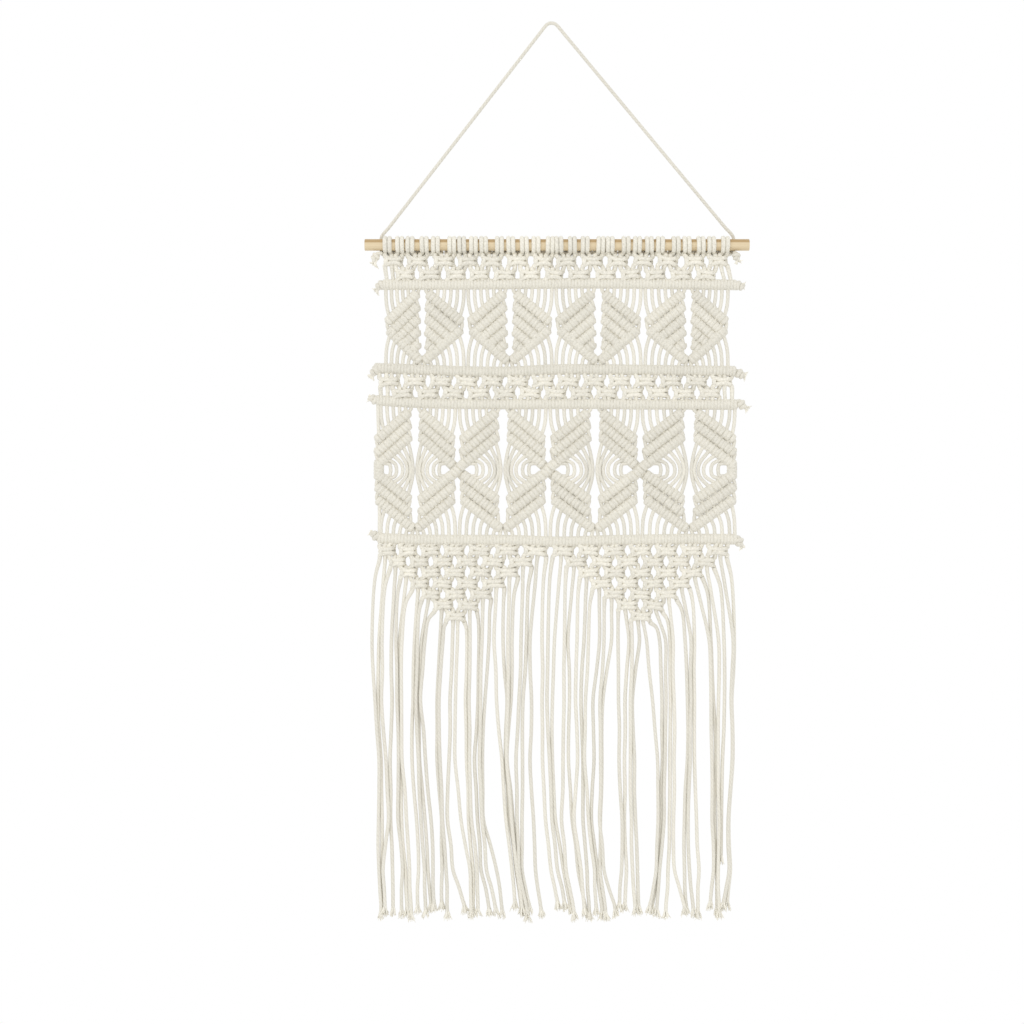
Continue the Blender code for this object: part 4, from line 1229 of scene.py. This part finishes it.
class HANGING_OT_fringe(bpy.types.Operator):
    """Two triangles of square knots, row by row narrower, and the fringe that leaves them"""
    bl_idname = "hanging.fringe"
    bl_label = "Triangles and fringe"

    def execute(self, context):
        radius = context.scene.hanging_cords.radius
        chance = random.Random(SEED + 2)
        everywhere = hang_from(BARS[3])
        half = CORDS // 2
        for triangle, paths, chart in ((TRIANGLES[0], everywhere[:half], FRINGE_LEFT),
                                       (TRIANGLES[1], everywhere[half:], FRINGE_RIGHT)):
            knots = [triangle.first + triangle.pitch * i + triangle.growth * i * i
                     for i in range(TRIANGLE_ROWS)]
            tie_band(paths, knots, TRIANGLE_BAND, chance)
            depths = self.depths(chart)
            knotted, loose, tufts = [], [], []
            for number, (path, cord, depth) in enumerate(zip(paths, chart, depths)):
                works = (number % 2 == 0) == (number < half // 2)
                below = path[-1]
                tufts += self.drop(path, cord, depth, WORKER_HANG if works else FILLER_HANG, chance)
                above, hanging = parted(cord_path(path, radius), below)
                knotted.append(above)
                loose.append(hanging)
            name = triangle.node.replace("knot_triangle", "fringe")
            parts = [swept(name + "_knots", knotted, material="knotted_cotton"),
                     swept(name + "_cords", loose),
                     swept(name + "_fray", tufts, FRINGE_FRAY_SIDES, material="combed_cotton")]
            settle(joined("knotted_" + name, parts), triangle.node, "fringe")
        return {"FINISHED"}

    def depths(self, chart):
        """How far in front or behind each cord hangs at each level, so that neighbours pass each other."""
        width = PASSING * bpy.context.scene.hanging_cords.radius / PIXEL
        xs = np.array([cord[:len(FRINGE_LEVELS)] for cord in chart])
        apart = np.abs(np.diff(xs, axis=0))
        needed = np.sqrt(np.maximum(width ** 2 - apart ** 2, 0.0)) / 2
        reach = np.zeros_like(xs)
        reach[:-1] = needed
        reach[1:] = np.maximum(reach[1:], needed)
        sign = np.where(np.arange(len(chart)) % 2, 1.0, -1.0)[:, None]
        return sign * np.maximum(reach, LEAST_DEPTH) * PIXEL / MM

    def drop(self, path, cord, depths, hang, chance):
        """Hang a cord down to its tip, and give the strands of its frayed end."""
        fray = bpy.context.scene.hanging_cords.fray
        *xs, tip = cord
        places = [place for place in zip(xs, FRINGE_LEVELS, depths) if place[1] < tip - TIP_ROOM]
        path.append(hung(path[-1], at(*places[0]), hang))
        for place, lower in zip(places, places[1:]):
            half_way = between(place, lower, 0.5)
            waver = chance.uniform(-FRINGE_WAVER, FRINGE_WAVER)
            path += [at(*place), at(half_way[0] + waver, *half_way[1:])]
        path.append(at(*places[-1]))
        (x, y, depth), (x_2, y_2, _) = places[-1], places[-2]
        lean = (x - x_2) / (y - y_2)
        cut = tip - fray / PIXEL
        if cut < y + CUT_ROOM:
            path.pop()
            x, y = x_2 + lean * (cut - y_2), cut
        else:
            x, y = x + lean * TIP_LEAN * (cut - y), cut
        end = at(x, y, depth)
        path.append(end)
        way = (lean * TIP_LEAN, 0.0, -1.0)
        return frayed(end, way, fray, bpy.context.scene.hanging_cords.radius, chance)


PIECES = (HANGING_OT_stage, HANGING_OT_hanging_cord, HANGING_OT_tails, HANGING_OT_rod, HANGING_OT_heading,
          HANGING_OT_bars, HANGING_OT_upper_leaves, HANGING_OT_middle_knots, HANGING_OT_lower_leaves,
          HANGING_OT_fringe)


class HANGING_PT_panel(bpy.types.Panel):
    """Lists the steps that build the wall hanging"""
    bl_idname = "HANGING_PT_panel"
    bl_label = "Macrame wall hanging"
    bl_space_type = "VIEW_3D"
    bl_region_type = "UI"
    bl_category = "Hanging"

    def draw(self, context):
        for piece in PIECES:
            self.layout.operator(piece.bl_idname)
        for name in SETTINGS:
            for key in getattr(context.scene, name).__annotations__:
                self.layout.prop(getattr(context.scene, name), key)


SETTINGS = {"hanging_cords": CordSettings, "hanging_hitches": HitchSettings, "hanging_rod": RodSettings,
            "hanging_stage": StageSettings}


def register():
    for settings in SETTINGS.values():
        bpy.utils.register_class(settings)
    for name, settings in SETTINGS.items():
        setattr(bpy.types.Scene, name, PointerProperty(type=settings))
    for piece in PIECES:
        bpy.utils.register_class(piece)
    bpy.utils.register_class(HANGING_PT_panel)


def unregister():
    bpy.utils.unregister_class(HANGING_PT_panel)
    for piece in reversed(PIECES):
        bpy.utils.unregister_class(piece)
    for name, settings in SETTINGS.items():
        delattr(bpy.types.Scene, name)
        bpy.utils.unregister_class(settings)


def main():
    register()
    for piece in PIECES:
        group, name = piece.bl_idname.split(".")
        getattr(getattr(bpy.ops, group), name)()


if __name__ == "__main__":
    main()
